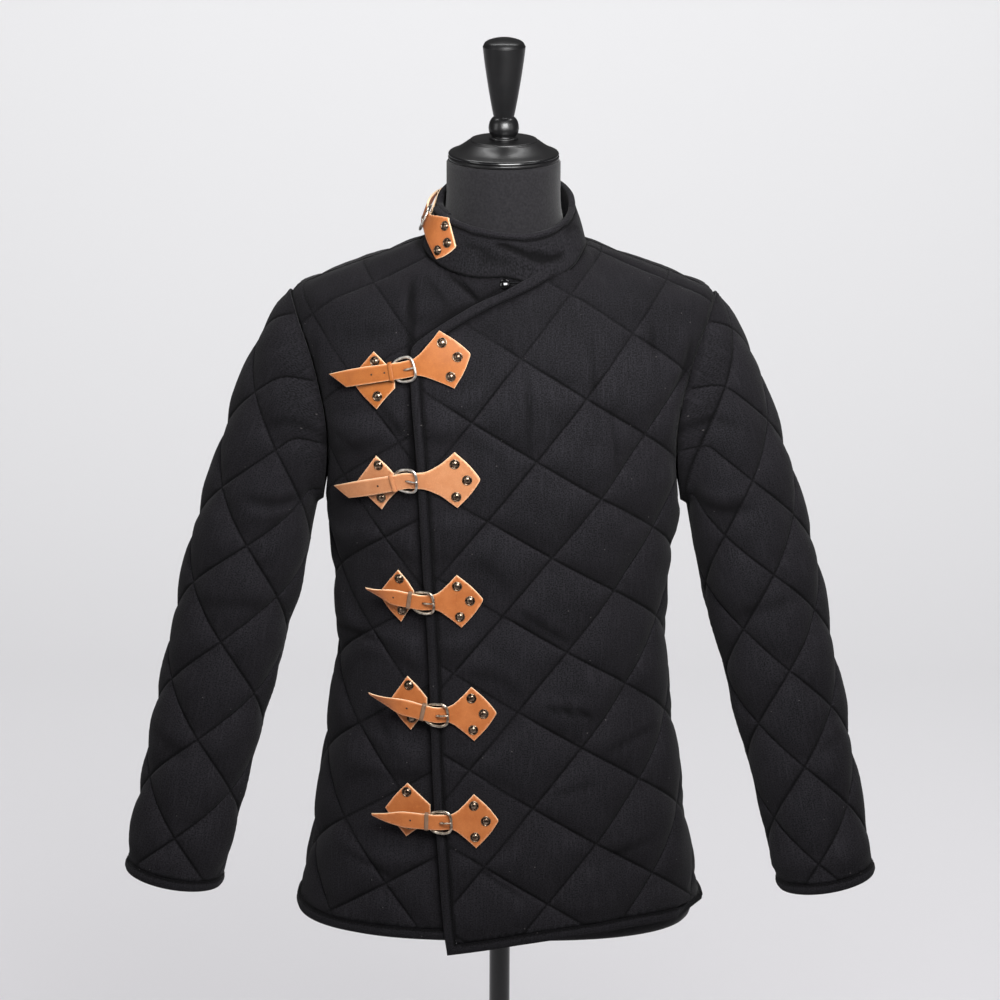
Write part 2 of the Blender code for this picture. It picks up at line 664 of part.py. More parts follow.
def cut_at(line, curve, keep=None):
    """The line from the place where it first crosses the curve, and that place's share along the curve.

    keep is the first point of the line that stays whole, for a line that has to match one cut before.
    """
    for i, (a, b) in enumerate(zip(line[:-1], line[1:])):
        for j, (c, d) in enumerate(zip(curve[:-1], curve[1:])):
            basis = np.stack([b - a, c - d], axis=1)
            if abs(np.linalg.det(basis)) < 1e-14:
                continue
            s, t = np.linalg.solve(basis, c - a)
            if 0 <= s <= 1 and 0 <= t <= 1:
                keep = keep or (i + 1 if s < 0.6 else i + 2)
                return np.vstack([a + s * (b - a), line[keep:]]), (j + t) / (len(curve) - 1), keep
    raise ValueError("the lines don't cross")


def build_overlap():
    """The overlapping left front and its bound edge."""
    whole_edge = even(on_front(OVERLAP_EDGE), EDGE_STEP * 0.85)
    side = half_outline(True)
    hem_end = side_point(True, HEM_HEIGHT)
    hem = np.vstack([even(on_front(OVERLAP_HEM), 0.022), hem_end])
    side_turn = neck_side_turn()
    curve = neck_edge(np.linspace(side_turn, 0.0, 61), True)
    edge = cut_at(whole_edge, curve)[0]
    seams, keep = [], None
    for distance, end in ((BINDING, side_point(True, HEM_HEIGHT + BINDING)), (BINDING + SEAM_GAP, side[0])):
        edge_seam, share, keep = cut_at(beside(whole_edge, distance), curve, keep)
        hem_seam = beside(hem, distance)
        corner = hem_seam[0] + (edge_seam[-1] - edge[-1])
        seams.append(np.vstack([edge_seam[:-1], corner, hem_seam[1:-1], end]))
    strip("binding_front_left", FRONT, np.vstack([edge, hem[1:]]), seams[0], lap_lift)
    neck = neck_edge(np.linspace(side_turn, side_turn * (1 - share), 6)[1:-1], True)
    outline = np.vstack([seams[1], side[1:], neck])
    cloth_panel("front_left", FRONT, outline, Quilt(FRONT_CROSSING, STEP_DOWN, STEP_UP), lap_lift)


def build_under_front():
    """The right front, which runs on under the overlap, and its bound hem."""
    down = mirror_u(half_outline(True))
    other_side = np.array([-1.0, 1.0])
    hem_from = side_point(True, HEM_HEIGHT) * other_side
    hem_to = flat_place(FRONT, u_at_x(UNDER_EDGE_HEM, HEM_HEIGHT), HEM_HEIGHT)
    hem = even(np.array([hem_from, hem_to]), 0.022, False)
    hem_seam = beside(hem, BINDING)
    hem_seam[0] = side_point(True, HEM_HEIGHT + BINDING) * other_side
    strip("binding_front_right", FRONT, hem, hem_seam)
    hem_seam = beside(hem, BINDING + SEAM_GAP)
    top_turn = math.asin(UNDER_EDGE_TOP / (COLLAR_FOOT[0] - COLLAR_WALL))
    turns = np.linspace(top_turn, -neck_side_turn(), 12)[:-1]
    neck = neck_edge(turns, True)
    free = even(np.array([hem_seam[-1], neck[0]]), 0.030, False)
    outline = np.vstack([hem_seam[1:-1], free[:-1], neck, down])
    quilt = Quilt(UNDER_CROSSING, (-STEP_DOWN[0], STEP_DOWN[1]), (-STEP_UP[0], STEP_UP[1]))
    edge = even(on_front(OVERLAP_EDGE), EDGE_STEP * 0.9)
    order = np.argsort(edge[:, 1])
    cover = (edge[order, 1], edge[order, 0] + 0.012)
    cloth_panel("front_right", FRONT, outline, quilt, free_edge=cover)


def build_back():
    """The back in one piece and its bound hem."""
    half = half_outline(False)
    other = mirror_u(half)
    other_side = np.array([-1.0, 1.0])
    hem_end = side_point(False, HEM_HEIGHT)
    hem = even(np.array([hem_end * other_side, hem_end]), 0.022, False)
    hem_seam = beside(hem, BINDING)
    hem_seam[-1] = side_point(False, HEM_HEIGHT + BINDING)
    hem_seam[0] = hem_seam[-1] * other_side
    strip("binding_back", BACK, hem, hem_seam)
    hem_seam = beside(hem, BINDING + SEAM_GAP)
    side_turn = neck_side_turn()
    turns = np.linspace(2 * math.pi - side_turn, side_turn, 12)[1:-1]
    neck = neck_edge(turns, False)
    outline = np.vstack([hem_seam[1:-1], half, neck, other])
    across, up = BACK_STEP
    cloth_panel("back", BACK, outline, Quilt(BACK_CROSSING, (across, up), (-across, up)))


# ---- sleeves -------------------------------------------------------------------------------------------

SLEEVE_ROWS = 76
UNDERARM_EASE = 0.0030     # the sleeve's wall folds in towards the body under the arm
SLEEVE_TURNS = np.linspace(-0.75 * math.pi, 1.75 * math.pi, 181)


def armhole_point(turn):
    """A point of the left armhole on the body's outer face; turn 0 is the front, a right angle the top."""
    deep, tall = -ARM_HALF_DEEP * math.cos(turn), ARM_HALF_TALL * math.sin(turn)
    z = ARM_HEIGHT + tall
    sheet = FRONT if deep <= 0 else BACK
    u = u_at_depth(abs(deep), z, deep <= 0)
    if deep > 0:
        u = -u
    p = np.array([(u - U_GRID[0]) / (U_GRID[1] - U_GRID[0])])
    q = np.array([(z - Z_GRID[0]) / (Z_GRID[1] - Z_GRID[0])])
    stand_off = WALL + SEAT_GAP + UNDERARM_EASE * max(0.0, -math.sin(turn))
    return (Sheet.read(sheet.points, p, q) + Sheet.read(sheet.normals, p, q) * stand_off)[0]


def sleeve_sheet():
    """The left sleeve's inner face from cuff to armhole, u round it from the front and v up from the cuff."""
    rows = np.array(SLEEVE)
    middle = np.stack([(rows[:, 0] + rows[:, 2]) / 2, (rows[:, 1] + rows[:, 3]) / 2, rows[:, 4]], axis=1)
    middle = np.vstack([middle, (0.2120, ARM_HEIGHT, 0.0)])
    run = np.r_[0.0, np.cumsum(np.linalg.norm(np.diff(middle, axis=0), axis=1))]
    at = np.linspace(0.0, run[-1], SLEEVE_ROWS)
    grid = np.zeros((len(SLEEVE_TURNS), SLEEVE_ROWS, 3))
    for i, turn in enumerate(SLEEVE_TURNS):
        outwards = 0.5 * (1 + math.sin(turn))
        line = np.zeros((len(rows) + 1, 3))
        line[:-1, 0] = rows[:, 2] + (rows[:, 0] - rows[:, 2]) * outwards
        line[:-1, 2] = rows[:, 3] + (rows[:, 1] - rows[:, 3]) * outwards
        line[:-1, 1] = rows[:, 4] - rows[:, 5] * math.cos(turn)
        line[-1] = armhole_point(turn)
        grid[i] = smooth(run, line, at)
    deep = smooth(run, np.r_[rows[:, 5], ARM_HALF_DEEP], at)
    u = SLEEVE_TURNS[:, None] * (deep[None, :] + 0.002)
    step = np.linalg.norm(np.diff(grid, axis=1), axis=2)
    v = np.concatenate([np.zeros((len(SLEEVE_TURNS), 1)), np.cumsum(step, axis=1)], axis=1)
    return Sheet(grid, u, v)


def sleeve_flat(sheet, turn, row):
    """Flat coordinates of a grid place of the sleeve."""
    p = (turn - SLEEVE_TURNS[0]) / (SLEEVE_TURNS[1] - SLEEVE_TURNS[0])
    p, q = np.array([p], float), np.array([row], float)
    return np.array([Sheet.read(sheet.u, p, q)[0], Sheet.read(sheet.v, p, q)[0]])


def sleeve_edge(sheet, turn, rows):
    """Flat points up the underarm seam on one of its two sides."""
    return np.array([sleeve_flat(sheet, turn, row) for row in rows])


def row_at_v(sheet, turn, v):
    """The sleeve's grid row that lies v above the cuff on one side."""
    p = np.full(SLEEVE_ROWS, (turn - SLEEVE_TURNS[0]) / (SLEEVE_TURNS[1] - SLEEVE_TURNS[0]))
    return float(np.interp(v, Sheet.read(sheet.v, p, np.arange(SLEEVE_ROWS, dtype=float)),
                           np.arange(SLEEVE_ROWS)))


def build_sleeve(side):
    """One sleeve and its bound cuff; the right one is the left one mirrored, with its own quilting."""
    sheet, mirrored = sleeve_sheet(), side == "right"
    low, high = -math.pi / 2, 1.5 * math.pi
    around = np.linspace(low, high, 23)
    top = [sleeve_flat(sheet, turn, SLEEVE_ROWS - 1) for turn in around[::-1]]
    start = row_at_v(sheet, low, BINDING + SEAM_GAP)
    rows = np.linspace(start, SLEEVE_ROWS - 1, 22)
    left, right = sleeve_edge(sheet, low, rows), sleeve_edge(sheet, high, rows)
    foot = [sleeve_flat(sheet, turn, row_at_v(sheet, turn, BINDING + SEAM_GAP)) for turn in around]
    outline = np.vstack([foot, right[1:-1], top, left[1:-1][::-1]])
    count = len(outline)
    corner = len(foot) - 1
    pairs = [(0, corner)] + [(count - k, corner + k) for k in range(1, len(rows))]
    quilt = Quilt(*SLEEVE_QUILTS[side])
    outer = keep_clear(quilt.points(outline), outline, 0.008)
    inner = keep_clear(grid_points(outline, 0.026), outline, 0.011)
    ends = [np.array(top), np.array(foot)]

    def outer_place(flat):
        edge = np.minimum(distance_to_line(flat, ends[0], False), distance_to_line(flat, ends[1], False))
        seam = np.minimum(distance_to_line(flat, left, False), distance_to_line(flat, right, False))
        full = ramp((np.minimum(edge, seam) - SEAM_FLAT) / EDGE_RAMP)
        return sheet.place(flat, WALL + PUFF * quilt.height(flat) * full)

    wall("sleeve_" + side, outline, outer, inner, outer_place,
         lambda flat: sheet.place(flat, 0.0 * flat[:, 0]), "cloth", mirrored, pairs)
    cuff = np.array([sleeve_flat(sheet, turn, 0) for turn in around])
    seam = np.array([sleeve_flat(sheet, turn, row_at_v(sheet, turn, BINDING)) for turn in around])
    last = len(around) - 1
    strip("binding_cuff_" + side, sheet, cuff, seam, joined=[(0, last), (2 * last + 1, last + 1)],
          mirrored=mirrored)


# ---- stand collar --------------------------------------------------------------------------------------

COLLAR_ROWS = 9


def collar_sheet(turns, lapped=True, past=0.0):
    """The collar's inner face at the given turns; u is measured round from the front and v up from the foot.

    Where the band's inner end runs on under its outer end it is tucked in by the band's thickness.
    past carries the face on above its top and below its foot, as a share of its height.
    """
    grid = np.zeros((len(turns), COLLAR_ROWS, 3))
    drops = np.zeros(len(turns))
    rows = np.linspace(-past, 1.0 + past, COLLAR_ROWS)
    inner_end = COLLAR_END + 2 * math.pi
    foot_wide, foot_deep, foot_y = COLLAR_FOOT
    top_wide, top_deep, top_y = COLLAR_TOP
    front, side, back = COLLAR_TOP_Z
    to_front, to_back = COLLAR_FALL
    for i, turn in enumerate(turns):
        tuck = (COLLAR_WALL + 0.0008) * ramp((turn - inner_end + 1.25) / 0.45) if lapped else 0.0
        sine, cosine = math.sin(turn), math.cos(turn)
        grow = COLLAR_WALL + tuck
        x0, y0 = (foot_wide - grow) * sine, foot_y - (foot_deep - grow) * cosine - skew(turn)
        x1, y1 = (top_wide - grow) * sine, top_y - (top_deep - grow) * cosine
        z0 = height_at(x0, y0)
        lift = WALL + COLLAR_SEAT
        if y0 < 0 < x0:
            on_lap = np.array([flat_place(FRONT, u_at_depth(-y0, z0, True), z0)])
            lift += lap_lift(on_lap)[0] * ramp((x0 - 0.028) / 0.022)
        outer_x, outer_y = foot_wide * sine, foot_y - foot_deep * cosine - skew(turn)
        drops[i] = z0 - height_at(outer_x, outer_y)
        z0 += lift * math.hypot(1.0, drops[i] / math.hypot(outer_x - x0, outer_y - y0))
        z1 = side + (front - side) * max(cosine, 0) ** to_front + (back - side) * max(-cosine, 0) ** to_back
        z1 -= COLLAR_DIP * max(0.0, math.sin(turn + 0.35)) ** 1.5 * max(0.0, cosine) ** 0.5
        for j, t in enumerate(rows):
            lean = math.copysign(abs(t) ** 1.2, t)
            grid[i, j] = (x0 + (x1 - x0) * lean, y0 + (y1 - y0) * lean, z0 + (z1 - z0) * t)
    length = np.r_[0.0, np.cumsum(np.linalg.norm(np.diff(grid[:, 4], axis=0), axis=1))]
    length -= np.interp(0.0, turns, length)
    step = np.linalg.norm(np.diff(grid, axis=1), axis=2)
    v = np.concatenate([np.zeros((len(turns), 1)), np.cumsum(step, axis=1)], axis=1)
    v -= np.array([[np.interp(0.0, rows, row)] for row in v])
    return Sheet(grid, np.repeat(length[:, None], COLLAR_ROWS, axis=1), v), length, drops


COLLAR_TURNS = np.linspace(COLLAR_END - 0.05, COLLAR_END + 2 * math.pi + 0.42, 240)
COLLAR, COLLAR_LENGTH, COLLAR_DROP = collar_sheet(COLLAR_TURNS)
COLLAR_SKIN = collar_sheet(np.linspace(-3.0, 0.6, 140), False, SKIN_PAST)[0]


def collar_v(turn, share):
    """Flat coordinates on the collar at a turn and a share of its height."""
    p = np.array([np.interp(turn, COLLAR_TURNS, np.arange(len(COLLAR_TURNS)))])
    q = np.array([share * (COLLAR_ROWS - 1)])
    return np.array([Sheet.read(COLLAR.u, p, q)[0], Sheet.read(COLLAR.v, p, q)[0]])


def collar_outer(flat, height):
    """The collar's outer face: its foot comes down to the sloping shoulder."""
    points = COLLAR.place(flat, height)
    drop = np.interp(flat[:, 0], COLLAR_LENGTH, COLLAR_DROP)
    points[:, 2] -= drop * np.clip(1 - flat[:, 1] / 0.020, 0, 1)
    return points


def build_collar():
    """The stand collar: one band round the neck whose outer end laps over its inner end."""
    first, last = COLLAR_END, COLLAR_END + 2 * math.pi + COLLAR_LAP / COLLAR_FOOT[0]
    around = np.linspace(first, last, 38)
    foot = [collar_v(turn, 0.0) for turn in around]
    top = [collar_v(turn, 1.0) for turn in around[::-1]]
    ends = [[collar_v(turn, share) for share in (0.35, 0.7)] for turn in (last, first)]
    outline = np.vstack([foot, ends[0], top, ends[1][::-1]])
    inner_turns = 0.5 * (around[1:] + around[:-1])
    middle = np.array([collar_v(turn, share) for turn in inner_turns for share in (0.34, 0.68)])
    wall("collar", outline, middle, middle, lambda flat: collar_outer(flat, COLLAR_WALL),
         lambda flat: COLLAR.place(flat, 0.0 * flat[:, 0]), "cloth")


# ---- leather fastenings --------------------------------------------------------------------------------

OVER = OVERLAP_LIFT + WALL + 0.0026        # underside of the leather over the overlap's bound edge
UNDER = WALL + PUFF * PRESS_LEFT + 0.0006  # and on the under front
WIRE_GAP = 0.0008                          # between leather and the buckle's wire, which is straighter
BAR = UNDER + LEATHER + WIRE_GAP + FRAME_WIRE
CROSS = BAR + FRAME_WIRE + WIRE_GAP        # underside of the strap where it passes over the bar
COLLAR_OVER = UNDER + COLLAR_WALL + 0.0003 # the same on the collar's outer end


def strap_outline(neck, tail, share=1.0):
    """The strap's outline about its buckle: riveted plate to the right, free end to the left."""
    half, point = PLATE_HALF * share, PLATE_POINT * share
    throat = FRAME_HALF_WIDE + 0.003
    corner = FRAME_HALF_WIDE + neck
    upper = [(-tail, STRAP_HALF * 0.85), (-tail * 0.5, STRAP_HALF), (-FRAME_HALF_WIDE, STRAP_HALF * 0.95),
             (0.0, STRAP_HALF * 0.92), (FRAME_HALF_WIDE, STRAP_HALF * 0.95), (throat, STRAP_HALF),
             (throat + (corner - throat) * 0.45, STRAP_HALF + (half - STRAP_HALF) * 0.30),
             (corner, half), (corner + point * 0.5, half * 0.52)]
    lower = [(a, -t) for a, t in upper]
    lower[0] = (-tail + 0.018, -STRAP_HALF * 0.95)
    return np.array(lower + [(corner + point, 0.0)] + upper[::-1])


def strap_height(a, over, rise, drop):
    """Height of the strap's underside along its length."""
    cross = CROSS + rise
    rows = np.array([(-0.100, cross - 0.0010), (-0.050, cross - 0.0006), (-0.016, cross),
                     (-FRAME_HALF_WIDE - 0.001, cross), (-0.006, cross - 0.0002),
                     (FRAME_HALF_WIDE - 0.003, over), (2 * FRAME_HALF_WIDE, over),
                     (3 * FRAME_HALF_WIDE, over - drop), (0.10, over - drop)])
    return np.interp(a, rows[:, 0], rows[:, 1])


def bent(local, centre, tilt, tail_tilt):
    """Flat coordinates of strap points: plate and free end each keep their own tilt."""
    rows = []
    for a, t in np.asarray(local):
        share = ramp((a + 0.010) / 0.020)
        turn = tail_tilt + (tilt - tail_tilt) * float(share)
        way = along(turn)
        rows.append(np.asarray(centre) + a * way + t * np.array([-way[1], way[0]]))
    return np.array(rows)


def tube(name, path, outwards, radius, sides, finish_name, closed=True):
    """A bent wire along a path, as one closed mesh. outwards points away from the cloth all along it."""
    count = len(path)
    way = np.roll(path, -1, axis=0) - np.roll(path, 1, axis=0) if closed else np.gradient(path, axis=0)
    way /= np.linalg.norm(way, axis=1, keepdims=True)
    side = np.cross(way, outwards)
    side /= np.linalg.norm(side, axis=1, keepdims=True)
    up = np.cross(side, way)
    vertices = []
    for k in range(count):
        for turn in np.arange(sides) * 2 * math.pi / sides:
            vertices.append(path[k] + radius * (math.cos(turn) * side[k] + math.sin(turn) * up[k]))
    faces = []
    for k in range(count if closed else count - 1):
        n = (k + 1) % count
        for s in range(sides):
            r = (s + 1) % sides
            faces.append((k * sides + s, k * sides + r, n * sides + r, n * sides + s))
    if not closed:
        faces.append(tuple(reversed(range(sides))))
        faces.append(tuple(range((count - 1) * sides, count * sides)))
    thing = add_object(name, vertices, faces, finish_name)
    mesh = bmesh.new()
    mesh.from_mesh(thing.data)
    bmesh.ops.recalc_face_normals(mesh, faces=mesh.faces)
    mesh.to_mesh(thing.data)
    mesh.free()
    return thing


def frame_path(count=16):
    """The buckle's outline: straight on the bar's side, rounded on the other."""
    rows = []
    for turn in np.arange(count) * 2 * math.pi / count + math.pi / count:
        c, s = math.cos(turn), math.sin(turn)
        power = 0.42 if c < 0 else 0.62
        rows.append((FRAME_HALF_WIDE * math.copysign(abs(c) ** power, c),
                     FRAME_HALF_TALL * math.copysign(abs(s) ** 0.62, s)))
    return np.array(rows)


def build_fastening(name, row, outer, share=1.0, over=OVER):
    """One strap with its riveted plate, the buckle and prong, and the buckle's own plate."""
    u, v, tilt, neck, tail_tilt, tail, plate_u, plate_v, rise, drop, reach, lean = row
    centre = np.array([u, v])
    rim = over + LEATHER + WIRE_GAP + FRAME_WIRE

    def placed(local, height):
        return outer(bent(local, centre, tilt, tail_tilt), height)

    def wire(piece, line, height, radius, sides, closed=True):
        path = placed(line, height)
        tube(piece, path, placed(line, height + 0.001) - path, radius, sides, "metal", closed)

    outline = strap_outline(neck, tail, share)
    lines = [(a, 0.0) for a in (-0.045, -0.030, -0.016, -0.008, 0.0, 0.008, 0.016) if a > 0.006 - tail]
    inside = np.array(lines + [(FRAME_HALF_WIDE + neck, 0.0), (FRAME_HALF_WIDE + neck * 0.6, 0.0)])
    wall("strap_" + name, outline, inside, inside,
         lambda flat: placed(flat, strap_height(flat[:, 0], over, rise, drop) + LEATHER),
         lambda flat: placed(flat, strap_height(flat[:, 0], over, rise, drop)), "leather")
    ring_line = frame_path()
    slope = (ring_line[:, 0] + FRAME_HALF_WIDE) / (2 * FRAME_HALF_WIDE)
    bar = BAR + rise
    wire("buckle_" + name, ring_line, bar + (rim - bar) * slope, FRAME_WIRE, 5)
    prong = np.array([(-0.0085, 0.0), (0.0, 0.0), (FRAME_HALF_WIDE + 0.0018, 0.0)])
    above = CROSS + rise + LEATHER
    wire("prong_" + name, prong, np.array([above + 0.0014, above + 0.0017, rim + FRAME_WIRE + 0.0018]),
         0.0009, 4, closed=False)
    half, reach, tab = PLATE_HALF * share, reach * share, STRAP_HALF * 0.8 * share ** 0.5
    tab_end = -plate_u - FRAME_HALF_WIDE + 0.0005
    plate = [(lean, half), (-reach * 0.55, half * 0.47), (-reach, 0.0), (-reach * 0.55, -half * 0.47),
             (-lean, -half), (tab_end * 0.5, -(half + tab) * 0.5), (tab_end, -tab),
             (tab_end, tab), (tab_end * 0.5, (half + tab) * 0.5)]
    shift = np.array([plate_u, plate_v])
    wall("buckle_plate_" + name, plate, np.array([(0.0, 0.0)]), np.array([(0.0, 0.0)]),
         lambda flat: outer(centre + shift + flat, UNDER + LEATHER),
         lambda flat: outer(centre + shift + flat, UNDER), "leather")


def build_button():
    """The small button at the neck, on the under front just below the collar."""
    x, z, radius, thick = BUTTON
    flat = on_front([(x, z)])
    ring_flat = [flat[0] + radius * np.array([math.cos(t), math.sin(t)])
                 for t in np.arange(12) * 2 * math.pi / 12]
    middle = flat.copy()
    wall("neck_button", ring_flat, middle, middle,
         lambda f: FRONT.place(f, WALL + thick * (1 - 0.35 * np.linalg.norm(f - middle, axis=1) / radius)),
         lambda f: FRONT.place(f, WALL - 0.0002 + 0.0 * f[:, 0]), "button")


# ---- dress form and stand ------------------------------------------------------------------------------


def build_form():
    """The limbless dress form: a smooth closed torso that ends in a short neck."""
    heights = [FORM_BOTTOM, 0.704, 0.712, 0.750, 0.800, 0.870, 0.940, 1.010, 1.080, 1.150, 1.220, 1.280,
               1.330, 1.370, 1.400, 1.418, 1.430, 1.440, 1.450, 1.460, 1.468, 1.476, 1.484, 1.497, 1.520,
               FORM_TOP - 0.002, FORM_TOP]
    table = np.array(FORM_ROOM)
    vertices = []
    sides = 36
    for z in heights:
        room = float(smooth(table[:, 0], table[:, 1], z))
        trim = {FORM_BOTTOM: 0.007, 0.704: 0.002, FORM_TOP: 0.002}.get(z, 0.0)
        for k in range(sides):
            turn = 2 * math.pi * k / sides
            near = math.cos(turn) >= -1e-9
            x, y, run = ring(z, near)
            local = turn if near else turn - math.pi
            index = abs(math.atan2(math.sin(local), math.cos(local))) / (TURN[1] - TURN[0])
            u = math.copysign(np.interp(index, np.arange(len(run)), run), math.sin(local))
            p = np.array([(u - U_GRID[0]) / (U_GRID[1] - U_GRID[0])])
            q = np.array([(min(z, Z_GRID[-1]) - Z_GRID[0]) / (Z_GRID[1] - Z_GRID[0])])
            sheet = FRONT if near else BACK
            point = Sheet.read(sheet.points, p, q)[0] - room * Sheet.read(sheet.normals, p, q)[0]
            out = math.hypot(point[0], point[1])
            scale = (out - trim) / out
            vertices.append((point[0] * scale, point[1] * scale, z if z > Z_GRID[-1] else point[2]))
    faces = []
    for j in range(len(heights) - 1):
        for k in range(sides):
            n = (k + 1) % sides
            faces.append((j * sides + k, j * sides + n, (j + 1) * sides + n, (j + 1) * sides + k))
    faces.append(tuple(reversed(range(sides))))
    faces.append(tuple(range((len(heights) - 1) * sides, len(heights) * sides)))
    for k in range(sides):
        vertices[k] = (vertices[k][0], vertices[k][1], FORM_BOTTOM)
    add_object("form_torso", vertices, faces, "form_cloth")


def build_stand():
    """The turned neck cap and finial above the form, and the pole and round base below it."""
    cap_foot = FORM_TOP + SEAM_GAP
    turned("neck_cap", [(r, cap_foot + h) for r, h in CAP], "black_wood", (0.0, NECK_MIDDLE), 28)
    turned("finial", [(r, cap_foot + h) for r, h in FINIAL], "black_wood", (0.0, NECK_MIDDLE), 20)
    base_top = BASE_THICK + 0.020
    turned("pole", [(0.0, FORM_BOTTOM - SEAM_GAP), (POLE_RADIUS, FORM_BOTTOM - SEAM_GAP),
                    (POLE_RADIUS, base_top + SEAM_GAP), (0.0, base_top + SEAM_GAP)], "black_metal", sides=24)
    turned("base", [(0.0, base_top), (0.0200, base_top), (0.0215, base_top - 0.002),
                    (0.0250, BASE_THICK + 0.004), (0.0400, BASE_THICK + 0.001), (0.1000, BASE_THICK - 0.001),
                    (BASE_RADIUS - 0.008, BASE_THICK - 0.004), (BASE_RADIUS - 0.001, BASE_THICK - 0.008),
                    (BASE_RADIUS, 0.004), (BASE_RADIUS - 0.001, 0.0), (0.0, 0.0)], "black_metal", sides=36)


def main():
    """Build every piece."""
    for thing in list(bpy.data.objects):
        bpy.data.objects.remove(thing, do_unlink=True)
    bpy.context.scene.collection.children.link(bpy.data.collections.new(PART))
    finish("cloth", (0.018, 0.017, 0.022), 0.85)
    finish("binding", (0.016, 0.015, 0.019), 0.85)
    finish("leather", (0.73, 0.28, 0.10), 0.50)
    finish("metal", (0.55, 0.50, 0.42), 0.35, 1.0)
    finish("button", (0.01, 0.01, 0.01), 0.20)
    finish("form_cloth", (0.035, 0.035, 0.038), 0.90)
    finish("black_wood", (0.010, 0.010, 0.011), 0.35)
    finish("black_metal", (0.010, 0.010, 0.011), 0.25, 0.5)
    build_overlap()
    build_under_front()
    build_back()
    for side in ("left", "right"):
        build_sleeve(side)
    build_collar()
    for number, row in enumerate(STRAPS, 1):
        build_fastening(str(number), row, FRONT.place)
    build_fastening("collar", COLLAR_STRAP, lambda flat, height: COLLAR_SKIN.place(
        flat, np.asarray(height) - COLLAR_OVER + COLLAR_WALL + 0.0014), COLLAR_PLATE_SHARE, COLLAR_OVER)
    build_button()
    build_form()
    build_stand()


main()
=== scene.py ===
# %% [markdown]
# # A quilted gambeson on a dress form
# A gambeson is a padded coat: two cloths with wadding between them, stitched through in diamonds. This one
# is closed by an overlapping front with five buckled leather straps, a buckled stand collar and a small
# button. It hangs on a limbless dress form. The frame holds the plain solids of every piece. This lesson
# builds a finer piece over each of them, in the same place, and gives each kind of piece its own finish.

# %% Load the frame
import math

import bmesh
import bpy
import numpy as np
from mathutils import Matrix, Vector
from mathutils.geometry import delaunay_2d_cdt


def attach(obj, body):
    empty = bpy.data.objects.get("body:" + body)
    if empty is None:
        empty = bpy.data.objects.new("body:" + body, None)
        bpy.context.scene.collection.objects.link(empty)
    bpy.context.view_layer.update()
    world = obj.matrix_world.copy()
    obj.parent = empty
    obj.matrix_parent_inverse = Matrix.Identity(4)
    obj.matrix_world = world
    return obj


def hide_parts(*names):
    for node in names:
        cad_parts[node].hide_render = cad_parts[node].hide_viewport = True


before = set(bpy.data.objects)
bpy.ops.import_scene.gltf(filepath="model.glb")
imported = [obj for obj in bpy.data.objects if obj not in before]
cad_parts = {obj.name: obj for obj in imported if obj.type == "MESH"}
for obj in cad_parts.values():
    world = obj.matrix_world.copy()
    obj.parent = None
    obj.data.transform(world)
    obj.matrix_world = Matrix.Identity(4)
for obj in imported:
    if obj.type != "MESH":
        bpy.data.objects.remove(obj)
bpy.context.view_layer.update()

# %% [markdown]
# ## Sizes
# All sizes are in metres. The cloth is 2.6 mm thick where it is stitched flat, and the wadding lifts it
# about 4 to 5 mm more between the stitch lines. The tables below give the body's sections from hem to neck,
# the sleeve's sections from cuff to armhole and the run of the overlapping edge.

# %% Sizes of the cloth
SEAM_GAP = 0.0003          # between two pieces that meet at a seam
RIDGE_GAP = 0.0005         # half the gap along the shoulder's ridge
SEAT_GAP = 0.0012          # under a wall's end that stands on a coarser curved panel
WALL = 0.0026              # the cloth where it is stitched flat
PUFF = 0.0056              # how far the wadding stands out between stitch lines
PUFF_RAMP = 0.032          # distance from a stitch line at which the wadding is full
EDGE_RAMP = 0.020          # the padding thins out over this distance beside a seam
PRESS_LEFT = 0.25          # share of the padding that is left under the leather
BINDING = 0.0115           # width of the bound edge
BOUND_WALL = 0.0042        # thickness of the bound edge along its middle
HEM_HEIGHT = 0.7085        # hem above the floor at the side seams
ARM_HEIGHT = 1.3010        # middle of the armhole
ARM_HALF_TALL = 0.1145
ARM_HALF_DEEP = 0.066
ARM_TUCK = 0.0015          # the body panels reach this far in under the sleeve's end
OVERLAP_LIFT = 0.0056      # the overlapping front lies this far out, over the under front
# It comes back to the body past the under front's edge: v, u where that starts, distance it takes
LAP_END = [(0.0, 0.105, 0.040), (0.700, 0.105, 0.040), (0.765, 0.088, 0.024), (0.900, 0.088, 0.024)]
FORM_TOP = 1.566           # top of the dress form's neck
FORM_BOTTOM = 0.7005
FINE = 0.0045              # spacing of the points along an edge
INNER_STEP = 0.013         # and on the plain inside
PER_CELL = 22              # points along one side of a quilted diamond

